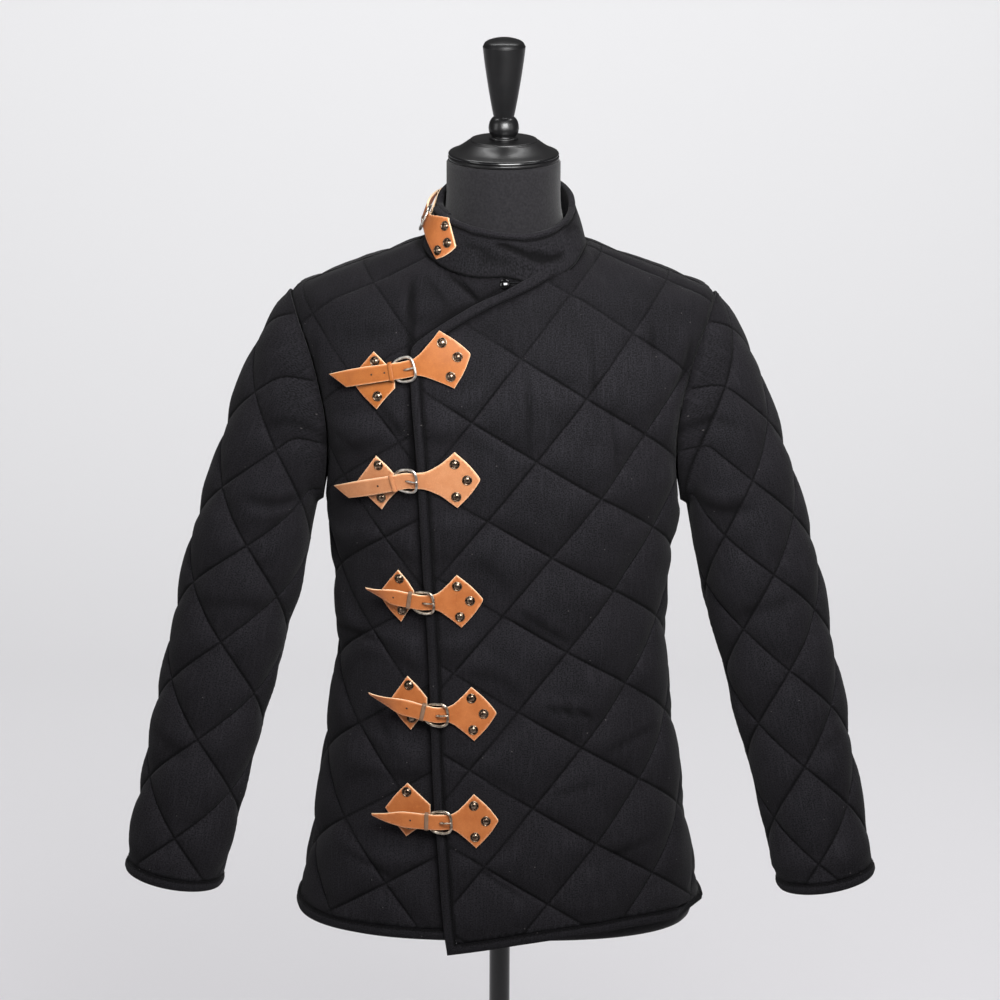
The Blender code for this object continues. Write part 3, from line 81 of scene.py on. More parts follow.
# %% Sections of the body and the sleeve
# Half sections of the body's inner face: z, half width, front depth, back depth, roundness
BODY = [
    (0.660, 0.2290, 0.1300, 0.1210, 2.60),
    (0.7085, 0.2270, 0.1300, 0.1215, 2.60),
    (0.735, 0.2180, 0.1295, 0.1215, 2.60),
    (0.790, 0.2080, 0.1270, 0.1210, 2.60),
    (0.870, 0.1965, 0.1230, 0.1150, 2.55),
    (0.950, 0.1860, 0.1180, 0.1010, 2.50),
    (1.030, 0.1785, 0.1150, 0.0910, 2.45),
    (1.100, 0.1820, 0.1170, 0.0930, 2.40),
    (1.180, 0.1915, 0.1240, 0.1050, 2.40),
    (1.250, 0.2010, 0.1290, 0.1150, 2.40),
    (1.310, 0.2140, 0.1280, 0.1180, 2.35),
    (1.360, 0.2270, 0.1205, 0.1140, 2.20),
    (1.395, 0.2340, 0.1110, 0.1070, 2.00),
    (1.4165, 0.2290, 0.1030, 0.0990, 1.85),
    (1.433, 0.2000, 0.0965, 0.0925, 1.60),
    (1.446, 0.1670, 0.0930, 0.0860, 1.47),
    (1.460, 0.1300, 0.0830, 0.0780, 1.47),
    (1.476, 0.0880, 0.0720, 0.0660, 1.78),
    (1.483, 0.0740, 0.0650, 0.0600, 2.00),
    (1.495, 0.0670, 0.0620, 0.0590, 2.00),
    (1.520, 0.0625, 0.0610, 0.0590, 2.00),
    (1.580, 0.0610, 0.0600, 0.0590, 2.00),
]
# Room between the cloth and the dress form: z, room
FORM_ROOM = [
    (0.66, 0.0100), (0.80, 0.0080), (1.00, 0.0055), (1.20, 0.0050), (1.34, 0.0050),
    (1.42, 0.0066), (1.462, 0.0062), (1.476, 0.0044), (1.486, 0.0010), (1.497, 0.0), (1.60, 0.0),
]
# Sections of the left sleeve from cuff to armhole, on the cloth's inner face:
# outer x, outer z, inner x, inner z, middle y, half depth
SLEEVE_SECTIONS = [
    (0.4175, 0.7660, 0.3160, 0.7485, -0.058, 0.0490),
    (0.4055, 0.8240, 0.3020, 0.8030, -0.043, 0.0515),
    (0.3915, 0.8930, 0.2860, 0.8660, -0.028, 0.0540),
    (0.3770, 0.9640, 0.2690, 0.9290, -0.016, 0.0565),
    (0.3630, 1.0350, 0.2540, 0.9820, -0.009, 0.0590),
    (0.3490, 1.1050, 0.2420, 1.0310, -0.004, 0.0610),
    (0.3320, 1.1670, 0.2315, 1.0660, -0.001, 0.0630),
    (0.3105, 1.2350, 0.2220, 1.1030, 0.001, 0.0645),
    (0.2920, 1.2930, 0.2155, 1.1340, 0.002, 0.0655),
    (0.2725, 1.3450, 0.2110, 1.1620, 0.002, 0.0665),
    (0.2525, 1.3870, 0.2070, 1.1800, 0.001, 0.0668),
]

# %% Stitch lines, front edge and collar
# Quilting: two families of stitch lines. Steps along each family, as (u, v), and one crossing's place.
STEP_DOWN = (0.0695, -0.0433)
STEP_UP = (0.0525, 0.0674)
FRONT_CROSSING = (0.0015, 0.3753)
UNDER_CROSSING = (-0.1633, 0.2384)
BACK_CROSSING = (0.0, 0.3300)
BACK_STEP = (0.0600, 0.0555)
# One crossing and the two steps of each sleeve's quilting
SLEEVE_QUILTS = {"left": ((0.0029, 0.1441), (0.0498, 0.0573), (-0.0426, 0.0537)),
                 "right": ((0.0078, 0.1713), (0.0529, 0.0556), (-0.0534, 0.0589))}
# Front edge of the overlapping front, neck to hem: x, z
OVERLAP_EDGE = [
    (0.0600, 1.4690), (0.0537, 1.4620), (0.0458, 1.4571), (0.0291, 1.4511), (0.0115, 1.4450),
    (-0.0036, 1.4378), (-0.0234, 1.4275), (-0.0413, 1.4180), (-0.0635, 1.4050), (-0.0790, 1.3947),
    (-0.0905, 1.3860), (-0.0970, 1.3770), (-0.0978, 1.3600), (-0.0965, 1.3300), (-0.0917, 1.2700),
    (-0.0841, 1.1350), (-0.0784, 1.0400), (-0.0730, 0.8790), (-0.0675, 0.8010), (-0.0617, 0.7220),
    (-0.0577, 0.6920),
]
# Hem of the overlapping front, corner to side seam: x, z
OVERLAP_HEM = [(-0.0577, 0.6920), (-0.0100, 0.6995), (0.0270, 0.7060), (0.0960, 0.7150),
               (0.1550, 0.7180), (0.1960, 0.7165)]
UNDER_EDGE_TOP = 0.0700    # x of the under front's hidden edge at the neck
UNDER_EDGE_HEM = 0.0300    # and at the hem
# Stand collar: plan ellipses of its outer face at the foot and at the top
COLLAR_WALL = 0.0046
COLLAR_FOOT = (0.0895, 0.0790, -0.0090)     # half width, half depth, middle y
COLLAR_SKEW = 0.0090                        # its foot bulges forward by this on the wearer's left
COLLAR_DIP = 0.0115                         # and its top edge is lower there
COLLAR_TOP = (0.0755, 0.0742, -0.0065)
COLLAR_TOP_Z = (1.5035, 1.5180, 1.5440)     # z of the top edge at front, sides and back
COLLAR_FALL = (1.8, 0.8)                    # powers of its top's fall to the front and rise to the back
COLLAR_SEAT = 1.9 * SEAT_GAP                # its foot stands this far above the panels
SKIN_PAST = 0.15                            # share of its height that the leather's level runs on past it
COLLAR_LAP = 0.030                          # the collar's ends lie on each other for this length
COLLAR_END = -1.35                          # angle of the outer end, from the front, towards -X

# %% Leather, buckles and button
LEATHER = 0.0022
STRAP_HALF = 0.0092
PLATE_HALF = 0.0310        # half height of the strap's riveted plate
PLATE_POINT = 0.0260       # its point stands out this far past its corners
FRAME_HALF_WIDE = 0.0115
FRAME_HALF_TALL = 0.0125
FRAME_WIRE = 0.0015
# Buckled straps on the front: buckle's u and v, tilt of the plate, length of the strap between buckle and
# plate, tilt and length of the free end, the buckle plate's place beside the buckle (u, v), how much higher
# the buckle lies where the bound edge runs in under its bar, how far the riveted plate comes down past it,
# and the buckle plate's half width and how far its top corner leans to the left
STRAPS = [
    (-0.1045, 0.6508, 15.0, 0.0360, 10.5, 0.0840, -0.0330, -0.0130, 0.0, 0.0,
     0.0280, -0.0018),
    (-0.1020, 0.5315, 3.0, 0.0420, 15.0, 0.0880, -0.0320, -0.0070, 0.0, 0.0008,
     0.0262, -0.0033),
    (-0.0839, 0.3906, 5.0, 0.0275, -7.0, 0.0580, -0.0270, 0.0035, 0.0010, 0.0008,
     0.0245, -0.0018),
    (-0.0692, 0.2615, 3.0, 0.0275, -11.0, 0.0680, -0.0310, 0.0095, 0.0032, 0.0011,
     0.0225, -0.0020),
    (-0.0655, 0.1393, 2.5, 0.0265, -1.5, 0.0720, -0.0370, 0.0100, 0.0026, 0.0011,
     0.0245, 0.0005),
]
# The collar's strap, in the collar's own flat coordinates
COLLAR_STRAP = (-0.1180, 0.0205, -3.0, 0.0375, -16.0, 0.0450, -0.0320, 0.0035, 0.0, 0.0,
                0.0250, 0.0)
COLLAR_PLATE_SHARE = 0.76
BUTTON = (0.0020, 1.4475, 0.0056, 0.0030)   # x, z, radius and thickness of the neck button

# %% Stand and its turned top
POLE_RADIUS = 0.0117
BASE_RADIUS = 0.170
BASE_THICK = 0.014
NECK_MIDDLE = -0.0005

# %% [markdown]
# ## Small tools
# Lines and tables are smoothed by a curve that never overshoots. It keeps a waist a waist, and adds no
# bumps between the rows. The same few tools lay out every edge of the garment.

# %% Curves through tables
def smooth(places, values, at):
    """A smooth curve through a table that never overshoots its values."""
    x, y = np.asarray(places, float), np.asarray(values, float)
    step = np.diff(x)
    slope = np.diff(y, axis=0) / step.reshape((-1,) + (1,) * (y.ndim - 1))
    before, after = slope[:-1], slope[1:]
    same = before * after > 0
    tangent = np.zeros_like(y)
    tangent[1:-1] = np.where(same, 2 * before * after / np.where(same, before + after, 1.0), 0.0)
    tangent[0], tangent[-1] = slope[0], slope[-1]
    at = np.asarray(at, float)
    i = np.clip(np.searchsorted(x, at) - 1, 0, len(x) - 2)
    s, h = np.clip((at - x[i]) / step[i], 0.0, 1.0), step[i]
    if y.ndim > 1:
        s, h = s[..., None], h[..., None]
    return ((1 + 2 * s) * (1 - s) ** 2 * y[i] + s * (1 - s) ** 2 * h * tangent[i]
            + s * s * (3 - 2 * s) * y[i + 1] + s * s * (s - 1) * h * tangent[i + 1])


def ramp(x):
    """0 below 0, 1 above 1, and a smooth step between."""
    x = np.clip(x, 0.0, 1.0)
    return x * x * (3 - 2 * x)


def hump(distance, width):
    """1 on a line, fading beside it within a width."""
    return np.exp(-(distance / width) ** 2)


def unit(rows):
    """Directions brought to length 1."""
    return rows / np.linalg.norm(rows, axis=-1, keepdims=True)


def left_of(way):
    """A flat direction turned a quarter to the left."""
    return np.stack([-way[..., 1], way[..., 0]], axis=-1)


def run_along(points):
    """How far along the line each of its points lies."""
    return np.r_[0.0, np.cumsum(np.linalg.norm(np.diff(points, axis=0), axis=1))]


def run_up(grid):
    """How far up its own column each point of a grid lies."""
    step = np.linalg.norm(np.diff(grid, axis=1), axis=2)
    return np.concatenate([np.zeros((len(grid), 1)), np.cumsum(step, axis=1)], axis=1)


def even(points, spacing, smooth_line=True):
    """Points about one spacing apart along a line through the given ones."""
    points = np.asarray(points, float)
    run = run_along(points)
    at = np.linspace(0.0, run[-1], max(1, int(round(run[-1] / spacing))) + 1)
    if smooth_line and len(points) > 2:
        return smooth(run, points, at)
    return np.stack([np.interp(at, run, points[:, k]) for k in range(points.shape[1])], axis=1)


def beside(points, distance):
    """The line moved sideways, to the left of its direction."""
    points = np.asarray(points, float)
    return points + distance * left_of(unit(np.gradient(points, axis=0)))

# %% Distances and insides
def distance_to_line(points, line, closed=True):
    """Distance of each point to a polygon's or a line's nearest side."""
    line = np.asarray(line, float)
    starts, ends = (line, np.roll(line, -1, axis=0)) if closed else (line[:-1], line[1:])
    best = np.full(len(points), 1e9)
    for a, b in zip(starts, ends):
        side = b - a
        t = np.clip(((points - a) @ side) / max(side @ side, 1e-12), 0.0, 1.0)
        best = np.minimum(best, np.linalg.norm(points - a - t[:, None] * side, axis=1))
    return best


def off_line(points, line):
    """Distance of each point to an open line."""
    return distance_to_line(points, line, False)


def is_inside(points, polygon):
    """Whether each point lies inside a closed polygon."""
    inside = np.zeros(len(points), bool)
    for (ax, ay), (bx, by) in zip(polygon, np.roll(polygon, -1, axis=0)):
        crosses = (ay > points[:, 1]) != (by > points[:, 1])
        if crosses.any():
            x = ax + (points[:, 1] - ay) * (bx - ax) / (by - ay if by != ay else 1e-12)
            inside ^= crosses & (points[:, 0] < x)
    return inside


def grid_points(polygon, spacing):
    """Rows of points for the plain inner face."""
    polygon = np.asarray(polygon)
    (u0, v0), (u1, v1) = polygon.min(axis=0), polygon.max(axis=0)
    rows = []
    for k, v in enumerate(np.arange(v0 + spacing * 0.5, v1, spacing * 0.87)):
        rows += [(u, v) for u in np.arange(u0 + spacing * (0.25 + 0.5 * (k % 2)), u1, spacing)]
    return np.array(rows)


def keep_clear(points, outline, distance):
    """The points that lie inside the outline and not close to it."""
    points = points[is_inside(points, np.asarray(outline))]
    return points[distance_to_line(points, outline) > distance]


def twice_area(outline):
    """Twice a polygon's area, above 0 where its points run anticlockwise."""
    following = np.roll(outline, -1, axis=0)
    return np.sum(outline[:, 0] * following[:, 1] - outline[:, 1] * following[:, 0])


def triangles_in(outline, points):
    """Triangles that fill an outline and use the given inner points."""
    outline = [Vector(p) for p in outline]
    count = len(outline)
    sides = [(i, (i + 1) % count) for i in range(count)]
    result = delaunay_2d_cdt(outline + [Vector(p) for p in points], sides, [], 1, 1e-7)
    if len(result[0]) != count + len(points):
        raise ValueError("the outline crosses itself or two points coincide")
    flat = np.array([tuple(p) for p in result[0]])
    found = []
    for a, b, c in result[2]:
        (ax, ay), (bx, by), (cx, cy) = flat[a], flat[b], flat[c]
        area = (bx - ax) * (cy - ay) - (by - ay) * (cx - ax)
        found.append((a, b, c) if area > 0 else (a, c, b))
    return found


def ring_faces(rows, sides, closed=False, inwards=False):
    """Four-sided faces between rings of points; closed joins the last ring to the first."""
    faces = []
    for j in range(rows if closed else rows - 1):
        a, b = j * sides, (j + 1) % rows * sides
        for k in range(sides):
            n = (k + 1) % sides
            faces.append((a + k, b + k, b + n, a + n) if inwards else (a + k, a + n, b + n, b + k))
    return faces

# %% Soft random hills
def ripple(flat, size, seed):
    """Smooth random hills about one size across, from -1 to 1; the seed makes them the same each time."""
    table = np.random.default_rng(seed).uniform(-1.0, 1.0, (64, 64))
    u, v = np.asarray(flat, float).T
    cell = np.stack([0.82 * u + 0.57 * v, 0.82 * v - 0.57 * u], axis=1) / size + 31.7
    low = np.floor(cell).astype(int)
    s, t = ramp(cell[:, 0] - low[:, 0]), ramp(cell[:, 1] - low[:, 1])
    i, j = low[:, 0] % 64, low[:, 1] % 64
    k, n = (i + 1) % 64, (j + 1) % 64
    return ((1 - s) * (1 - t) * table[i, j] + s * (1 - t) * table[k, j]
            + (1 - s) * t * table[i, n] + s * t * table[k, n])


def ripple_along(run, line, size):
    """Random waves along a line, different for each line number."""
    table = np.random.default_rng(5).uniform(-1.0, 1.0, 997)
    cell = run / size + 500.3 * line
    low = np.floor(cell).astype(int)
    t = ramp(cell - low)
    return (1 - t) * table[low % 997] + t * table[(low + 1) % 997]

# %% [markdown]
# ## The sheet that cloth lies on
# A tailor cuts cloth flat and then lays it round a body. A Sheet does the same: it is a curved grid that
# knows, at each of its points, the flat cloth coordinates u (across) and v (up). A panel is drawn flat, and
# every one of its points is then found on the sheet and moved out by its own height. The flat coordinates
# also become the UV map, so weave and stitches keep their size on the cloth.

# %% The curved sheet
class Sheet:
    """A curved sheet held as a grid, with flat cloth coordinates u and v at every grid point."""

    def __init__(self, points, u, v):
        self.points, self.u, self.v = points, u, v
        normals = np.cross(np.gradient(points, axis=0), np.gradient(points, axis=1))
        self.normals = normals / np.maximum(np.linalg.norm(normals, axis=2, keepdims=True), 1e-12)
        self.slopes = [np.gradient(field, axis=axis) for field in (u, v) for axis in (0, 1)]

    @staticmethod
    def read(field, p, q):
        """The field between grid points, by the four around it."""
        p = np.clip(p, 0.0, field.shape[0] - 1.0001)
        q = np.clip(q, 0.0, field.shape[1] - 1.0001)
        i, j = p.astype(int), q.astype(int)
        s, t = p - i, q - j
        if field.ndim > 2:
            s, t = s[..., None], t[..., None]
        return ((1 - s) * (1 - t) * field[i, j] + s * (1 - t) * field[i + 1, j]
                + (1 - s) * t * field[i, j + 1] + s * t * field[i + 1, j + 1])

    def flat_at(self, p, q):
        """Flat coordinates of one grid place."""
        p, q = np.array([p], float), np.array([q], float)
        return np.array([self.read(self.u, p, q)[0], self.read(self.v, p, q)[0]])

    def point_at(self, p, q, height):
        """One grid place in space, moved out by a height."""
        p, q = np.array([p], float), np.array([q], float)
        return (self.read(self.points, p, q) + self.read(self.normals, p, q) * height)[0]

    def find(self, flat):
        """Grid places of flat coordinates, by Newton's method."""
        u, v = flat[:, 0], flat[:, 1]
        p = np.full(len(flat), self.u.shape[0] * 0.5)
        q = np.full(len(flat), self.u.shape[1] * 0.5)
        for _ in range(30):
            miss_u, miss_v = u - self.read(self.u, p, q), v - self.read(self.v, p, q)
            up, uq, vp, vq = (self.read(slope, p, q) for slope in self.slopes)
            area = up * vq - uq * vp
            area = np.where(np.abs(area) < 1e-9, 1e-9, area)
            p = np.clip(p + np.clip((miss_u * vq - miss_v * uq) / area, -15, 15), 0, self.u.shape[0] - 1)
            q = np.clip(q + np.clip((miss_v * up - miss_u * vp) / area, -15, 15), 0, self.u.shape[1] - 1)
        return p, q

    def place(self, flat, height):
        """Points in space for flat coordinates, moved out from the sheet by a height."""
        p, q = self.find(np.asarray(flat, float))
        outward = unit(self.read(self.normals, p, q))
        return self.read(self.points, p, q) + outward * np.reshape(height, (-1, 1))

# %% The body's sheet, front and back
TURN = np.linspace(0.0, 2 * math.pi, 361)
Z_GRID = np.arange(0.668, 1.5301, 0.004)
U_GRID = np.arange(-0.350, 0.3501, 0.005)


def grid_place(u, z):
    """Grid place of u and a height on the body's sheets."""
    return (u - U_GRID[0]) / (U_GRID[1] - U_GRID[0]), (z - Z_GRID[0]) / (Z_GRID[1] - Z_GRID[0])


def section(z):
    """Half width, front depth, back depth and roundness of the body at a height."""
    rows = np.array(BODY)
    return [smooth(rows[:, 0], rows[:, k], z) for k in (1, 2, 3, 4)]


def ring(z, near_front=True):
    """The body's outline at a height, from its front (or back) centre round to the side and on."""
    width, front, back, power = section(z)
    near, far = (front, back) if near_front else (back, front)
    sine, cosine = np.sin(TURN), np.cos(TURN)
    x = width * np.sign(sine) * np.abs(sine) ** (2 / power)
    y = -np.where(cosine > 0, near, far) * np.sign(cosine) * np.abs(cosine) ** (2 / power)
    return x, y, np.r_[0.0, np.cumsum(np.hypot(np.diff(x), np.diff(y)))]


def body_sheet(near_front):
    """The body's inner face with u measured from the front (or back) centre and v from the hem."""
    grid = np.zeros((len(U_GRID), len(Z_GRID), 3))
    for j, z in enumerate(Z_GRID):
        x, y, run = ring(z, near_front)
        grid[:, j, 0] = np.sign(U_GRID) * np.interp(np.abs(U_GRID), run, x)
        grid[:, j, 1] = np.interp(np.abs(U_GRID), run, y)
        grid[:, j, 2] = z
    if not near_front:
        grid[:, :, :2] *= -1
    v = run_up(grid)
    row = np.full(len(U_GRID), grid_place(0, HEM_HEIGHT)[1])
    hem = Sheet.read(v, np.arange(len(U_GRID), dtype=float), row)
    return Sheet(grid, np.repeat(U_GRID[:, None], len(Z_GRID), axis=1), v - hem[:, None])


FRONT, BACK = body_sheet(True), body_sheet(False)
print("body sheets", FRONT.points.shape)

# %% Finding places on the body
QUARTER = len(TURN) // 4 + 1


def flat_place(sheet, u, z):
    """Flat coordinates of a place on the body that is known by u and its height."""
    u = np.asarray(u, float)
    return np.stack([u, Sheet.read(sheet.v, *grid_place(u, np.asarray(z, float)))], axis=-1)


def u_at_x(x, z):
    """u on the front where the body is x from the middle at a height."""
    xs, _, run = ring(z)
    return math.copysign(np.interp(abs(x), xs[:QUARTER], run[:QUARTER]), x)


def u_at_depth(depth, z, near_front):
    """u where the body is a given depth before (or behind) the side seam."""
    _, y, run = ring(z, near_front)
    return np.interp(-depth, y[:QUARTER], run[:QUARTER])


def at_depth(depth, z, near_front):
    """The same place's flat coordinates, on the +u side."""
    return flat_place(FRONT if near_front else BACK, u_at_depth(depth, z, near_front), z)


def on_front(rows):
    """Flat coordinates of places on the front that are given as (x, z)."""
    return np.array([flat_place(FRONT, u_at_x(x, z), z) for x, z in rows])


def height_at(x, y):
    """Height of the body's inner face above a point of the neck and shoulders."""
    z = np.linspace(1.36, 1.50, 141)
    width, front, back, power = section(z)
    fill = (abs(x) / width) ** power + (abs(y) / (front if y < 0 else back)) ** power
    return float(np.interp(1.0, fill, z))

# %% [markdown]
# ## Finishes
# The cloth is a near-black twill with a faint violet cast. Its colour is almost flat, so the look comes
# from its sheen, a fine diagonal weave in the bump, a little pale lint and painted shade, which darkens
# it in stitch lines, seams and creases, on the lower side of each puff and over the shoulders. Every
# pattern in it reads the flat cloth coordinates. The leather is tan, paler on its cut edges, with a
# painted highlight along its rim. Buckles are worn silver, rivets are dark and glossy.

# %% A small kit for materials
BLACK, WHITE = (0.0, 0.0, 0.0), (1.0, 1.0, 1.0)


def tinted(colour, times):
    """A colour made darker or paler."""
    return [c * times for c in colour]


class Finish:
    """One procedural material, built node by node."""

    def __init__(self, name, colour, roughness, **sockets):
        self.material = bpy.data.materials.new(name)
        self.material.use_nodes = True
        self.nodes, self.links = self.material.node_tree.nodes, self.material.node_tree.links
        self.shader = self.nodes["Principled BSDF"]
        self.set(self.shader, Base_Color=(*colour, 1.0), Roughness=roughness, **sockets)

    def set(self, made, **inputs):
        """Sets a node's inputs; an input is a number, a colour or another node's socket."""
        for name, value in inputs.items():
            socket = made.inputs[int(name[1:]) if name[1:].isdigit() else name.replace("_", " ")]
            if isinstance(value, bpy.types.NodeSocket):
                self.links.new(value, socket)
            else:
                socket.default_value = value

    def node(self, kind, settings=None, **inputs):
        """A node with its settings and inputs."""
        made = self.nodes.new(kind)
        for name, value in (settings or {}).items():
            setattr(made, name, value)
        self.set(made, **inputs)
        return made

    def place(self, scale, on_cloth=False, along=1.0):
        """Flat cloth coordinates or the piece's own place, scaled; along draws patterns out lengthwise."""
        if on_cloth:
            start = self.node("ShaderNodeUVMap", {"uv_map": "flat"}).outputs[0]
        else:
            start = self.node("ShaderNodeTexCoord").outputs["Object"]
        return self.node("ShaderNodeMapping", Vector=start, Scale=(scale, scale * along, scale)).outputs[0]

    def noise(self, scale, detail, on_cloth=False, along=1.0, **more):
        """Soft spots, smaller at a larger scale."""
        more = {"Scale": 1.0, "Detail": detail, **more}
        return self.node("ShaderNodeTexNoise", Vector=self.place(scale, on_cloth, along), **more).outputs[0]

    def painted_shading(self):
        """The mesh's painted light mark: shade on the cloth, a highlight along the leather's rim."""
        return self.node("ShaderNodeAttribute", {"attribute_name": "painted_shading"}).outputs["Fac"]

    def shades(self, factor, low, high, colours):
        """Colours along a factor, from low to high."""
        made = self.node("ShaderNodeValToRGB", Fac=factor)
        for element, position, colour in zip(made.color_ramp.elements, (low, high), colours):
            element.position, element.color = position, (*colour, 1.0)
        return made.outputs[0]

    def mix(self, factor, *colours):
        """Two colours mixed."""
        one, other = (c if isinstance(c, bpy.types.NodeSocket) else (*c, 1.0) for c in colours)
        return self.node("ShaderNodeMix", {"data_type": "RGBA"}, _0=factor, _6=one, _7=other).outputs[2]

    def math(self, operation, one, other):
        """Two numbers in one operation."""
        return self.node("ShaderNodeMath", {"operation": operation}, _0=one, _1=other).outputs[0]

    def colour(self, socket):
        """Colours the finish by a node's output."""
        self.set(self.shader, Base_Color=socket)

    def rough(self, factor, low, high):
        """Roughness that runs from low to high along a factor."""
        spread = self.node("ShaderNodeMapRange", Value=factor, To_Min=low, To_Max=high)
        self.set(self.shader, Roughness=spread.outputs[0])

    def bump(self, rows):
        """Bumps laid over each other: height socket, strength and distance."""
        under = {}
        for height, strength, distance in rows:
            made = self.node("ShaderNodeBump", Strength=strength, Distance=distance, Height=height, **under)
            under = {"Normal": made.outputs[0]}
        self.set(self.shader, **under)

# %% Cloth
def cloth_finish(name, colour, lint=0.50, twill=0.30):
    """Near-black twill with a soft sheen, faint cloudiness, a little lint and painted shade from the mesh's
    mark.
    """
    made = Finish(name, colour, 0.9, Sheen_Weight=0.03, Sheen_Roughness=0.45, Specular_IOR_Level=0.07)
    clouds = made.noise(20.0, 6.0, True)
    shade = made.shades(clouds, 0.30, 0.72, [tinted(colour, 0.80), tinted(colour, 1.22)])
    fuzz = made.shades(made.noise(640.0, 2.0, True), 0.36, 0.66, [BLACK, WHITE])
    shade = made.mix(fuzz, made.mix(0.52, shade, BLACK), made.mix(0.55, shade, tinted(colour, 2.3)))
    streaks = made.shades(made.noise(520.0, 2.0, True, 0.06), 0.52, 0.72, [BLACK, tinted(WHITE, 0.35)])
    shade = made.mix(streaks, shade, tinted(colour, 2.4))
    # Painted shade: the mesh's mark darkens the cloth in its stitch lines, seams and creases, on the lower
    # side of each puff, beside the overlap's edge and over the shoulders.
    shade = made.mix(made.painted_shading(), shade, tinted(colour, 0.16))
    spots = made.node("ShaderNodeTexVoronoi", Vector=made.place(70.0, True), Scale=1.0)
    rare = made.node("ShaderNodeSeparateColor", Color=spots.outputs["Color"]).outputs[0]
    speck = made.math("MULTIPLY", made.math("LESS_THAN", spots.outputs["Distance"], 0.048),
                      made.math("GREATER_THAN", rare, lint))
    made.colour(made.mix(made.math("MULTIPLY", speck, 0.5), shade, (0.11, 0.10, 0.10)))
    weave = made.node("ShaderNodeTexWave", {"bands_direction": "DIAGONAL"}, Vector=made.place(1.0, True),
                      Scale=620.0, Distortion=0.6, Detail=1.0).outputs[1]
    made.bump([(made.noise(260.0, 3.0, True), 0.35, 0.0005), (weave, twill, 0.0003)])
    return made.material


CLOTH = cloth_finish("black_twill", (0.0102, 0.0096, 0.0113))
BINDING_CLOTH = cloth_finish("black_binding_tape", (0.0092, 0.0087, 0.0102), lint=0.8, twill=0.45)
COLLAR_CLOTH = cloth_finish("black_collar_twill", (0.0098, 0.0093, 0.0108), lint=0.97)
print("cloth finishes made")

# %% Thread
def thread_finish():
    """Matt black sewing thread."""
    made = Finish("black_thread", (0.003, 0.003, 0.0035), 0.8, Specular_IOR_Level=0.15)
    shades = [(0.0015, 0.0015, 0.0018), (0.005, 0.005, 0.006)]
    made.colour(made.shades(made.noise(700.0, 2.0), 0.3, 0.7, shades))
    return made.material


THREAD = thread_finish()

# %% Leather
def leather_finish(name, colour, dark, pale):
    """Vegetable-tanned leather: cloudy colour, fine pores, a waxed surface and a painted highlight along its
    rim.
    """
    made = Finish(name, colour, 0.46, Coat_Weight=0.06, Coat_Roughness=0.35, Specular_IOR_Level=0.30)
    clouds = made.noise(70.0, 6.0, Roughness=0.6)
    shade = made.shades(clouds, 0.28, 0.74, [dark, pale])
    grain = made.noise(900.0, 4.0)
    shade = made.mix(made.math("MULTIPLY", grain, 0.75), shade, tinted(colour, 0.60))
    marks = made.noise(34.0, 8.0, Scale=3.0, Distortion=2.5)
    scratch = made.shades(marks, 0.60, 0.70, [BLACK, tinted(WHITE, 0.30)])
    shade = made.mix(scratch, shade, pale)
    # Painted highlight: paler where the mesh's mark is set, along the rim.
    painted_rim_highlight = made.math("MULTIPLY", made.painted_shading(), 0.65)
    made.colour(made.mix(painted_rim_highlight, shade, [min(0.85, 1.35 * c + 0.06) for c in pale]))
    made.rough(clouds, 0.36, 0.58)
    pores = made.node("ShaderNodeTexVoronoi", {"feature": "DISTANCE_TO_EDGE"}, Vector=made.place(950.0),
                      Scale=1.0).outputs[0]
    made.bump([(grain, 0.30, 0.0003), (pores, 0.20, 0.0002)])
    return made.material


TAN = leather_finish("tan_leather", (0.500, 0.207, 0.090), (0.44, 0.168, 0.068), (0.57, 0.26, 0.12))
DEEP_TAN = leather_finish("deep_tan_leather", (0.430, 0.130, 0.034), (0.355, 0.102, 0.026),
                          (0.50, 0.170, 0.050))
RUSSET = leather_finish("russet_leather", (0.350, 0.106, 0.020), (0.295, 0.086, 0.016), (0.41, 0.132, 0.028))
BROWN = leather_finish("brown_leather", (0.200, 0.115, 0.070), (0.13, 0.070, 0.040), (0.30, 0.190, 0.125))
CUT_EDGE = leather_finish("cut_leather_edge", (0.50, 0.27, 0.15), (0.32, 0.15, 0.075), (0.66, 0.42, 0.26))
HOLE = Finish("hole_shadow", (0.03, 0.012, 0.006), 0.8).material
print("leather finishes made")

# %% Metal, horn and lacquer
def metal_finish(name, colour, worn, roughness):
    """Plated metal whose dark finish has worn through in patches."""
    made = Finish(name, colour, roughness, Metallic=1.0)
    wear = made.noise(260.0, 5.0)
    made.colour(made.shades(wear, 0.40, 0.62, [colour, worn]))
    made.rough(wear, roughness * 0.8, min(1.0, roughness * 1.5))
    made.bump([(made.noise(420.0, 3.0), 0.10, 0.0003)])
    return made.material


SILVER = metal_finish("worn_silver", (0.42, 0.39, 0.35), (0.74, 0.71, 0.66), 0.30)
ANTIQUE = metal_finish("antique_metal", (0.30, 0.24, 0.18), (0.74, 0.66, 0.55), 0.26)
RIVET = metal_finish("dark_rivet", (0.11, 0.070, 0.048), (0.30, 0.23, 0.17), 0.24)


def gloss_finish(name, colour, roughness, coat, scale=30.0):
    """Black lacquer or horn: smooth, with a faint unevenness in its gloss."""
    made = Finish(name, colour, roughness, Coat_Weight=coat, Coat_Roughness=0.08)
    haze = made.noise(scale, 4.0)
    made.rough(haze, roughness * 0.8, roughness * 1.3)
    made.colour(made.shades(haze, 0.3, 0.7, [tinted(colour, 0.8), tinted(colour, 1.3)]))
    made.bump([(made.noise(scale * 12, 2.0), 0.06, 0.0003)])
    return made.material


LACQUER = gloss_finish("black_lacquer", (0.0032, 0.0031, 0.0034), 0.33, 0.06)
POLE_GLOSS = gloss_finish("black_gloss_metal", (0.004, 0.004, 0.0045), 0.20, 0.15)
HORN = gloss_finish("black_horn", (0.002, 0.002, 0.002), 0.07, 0.0, 120.0)


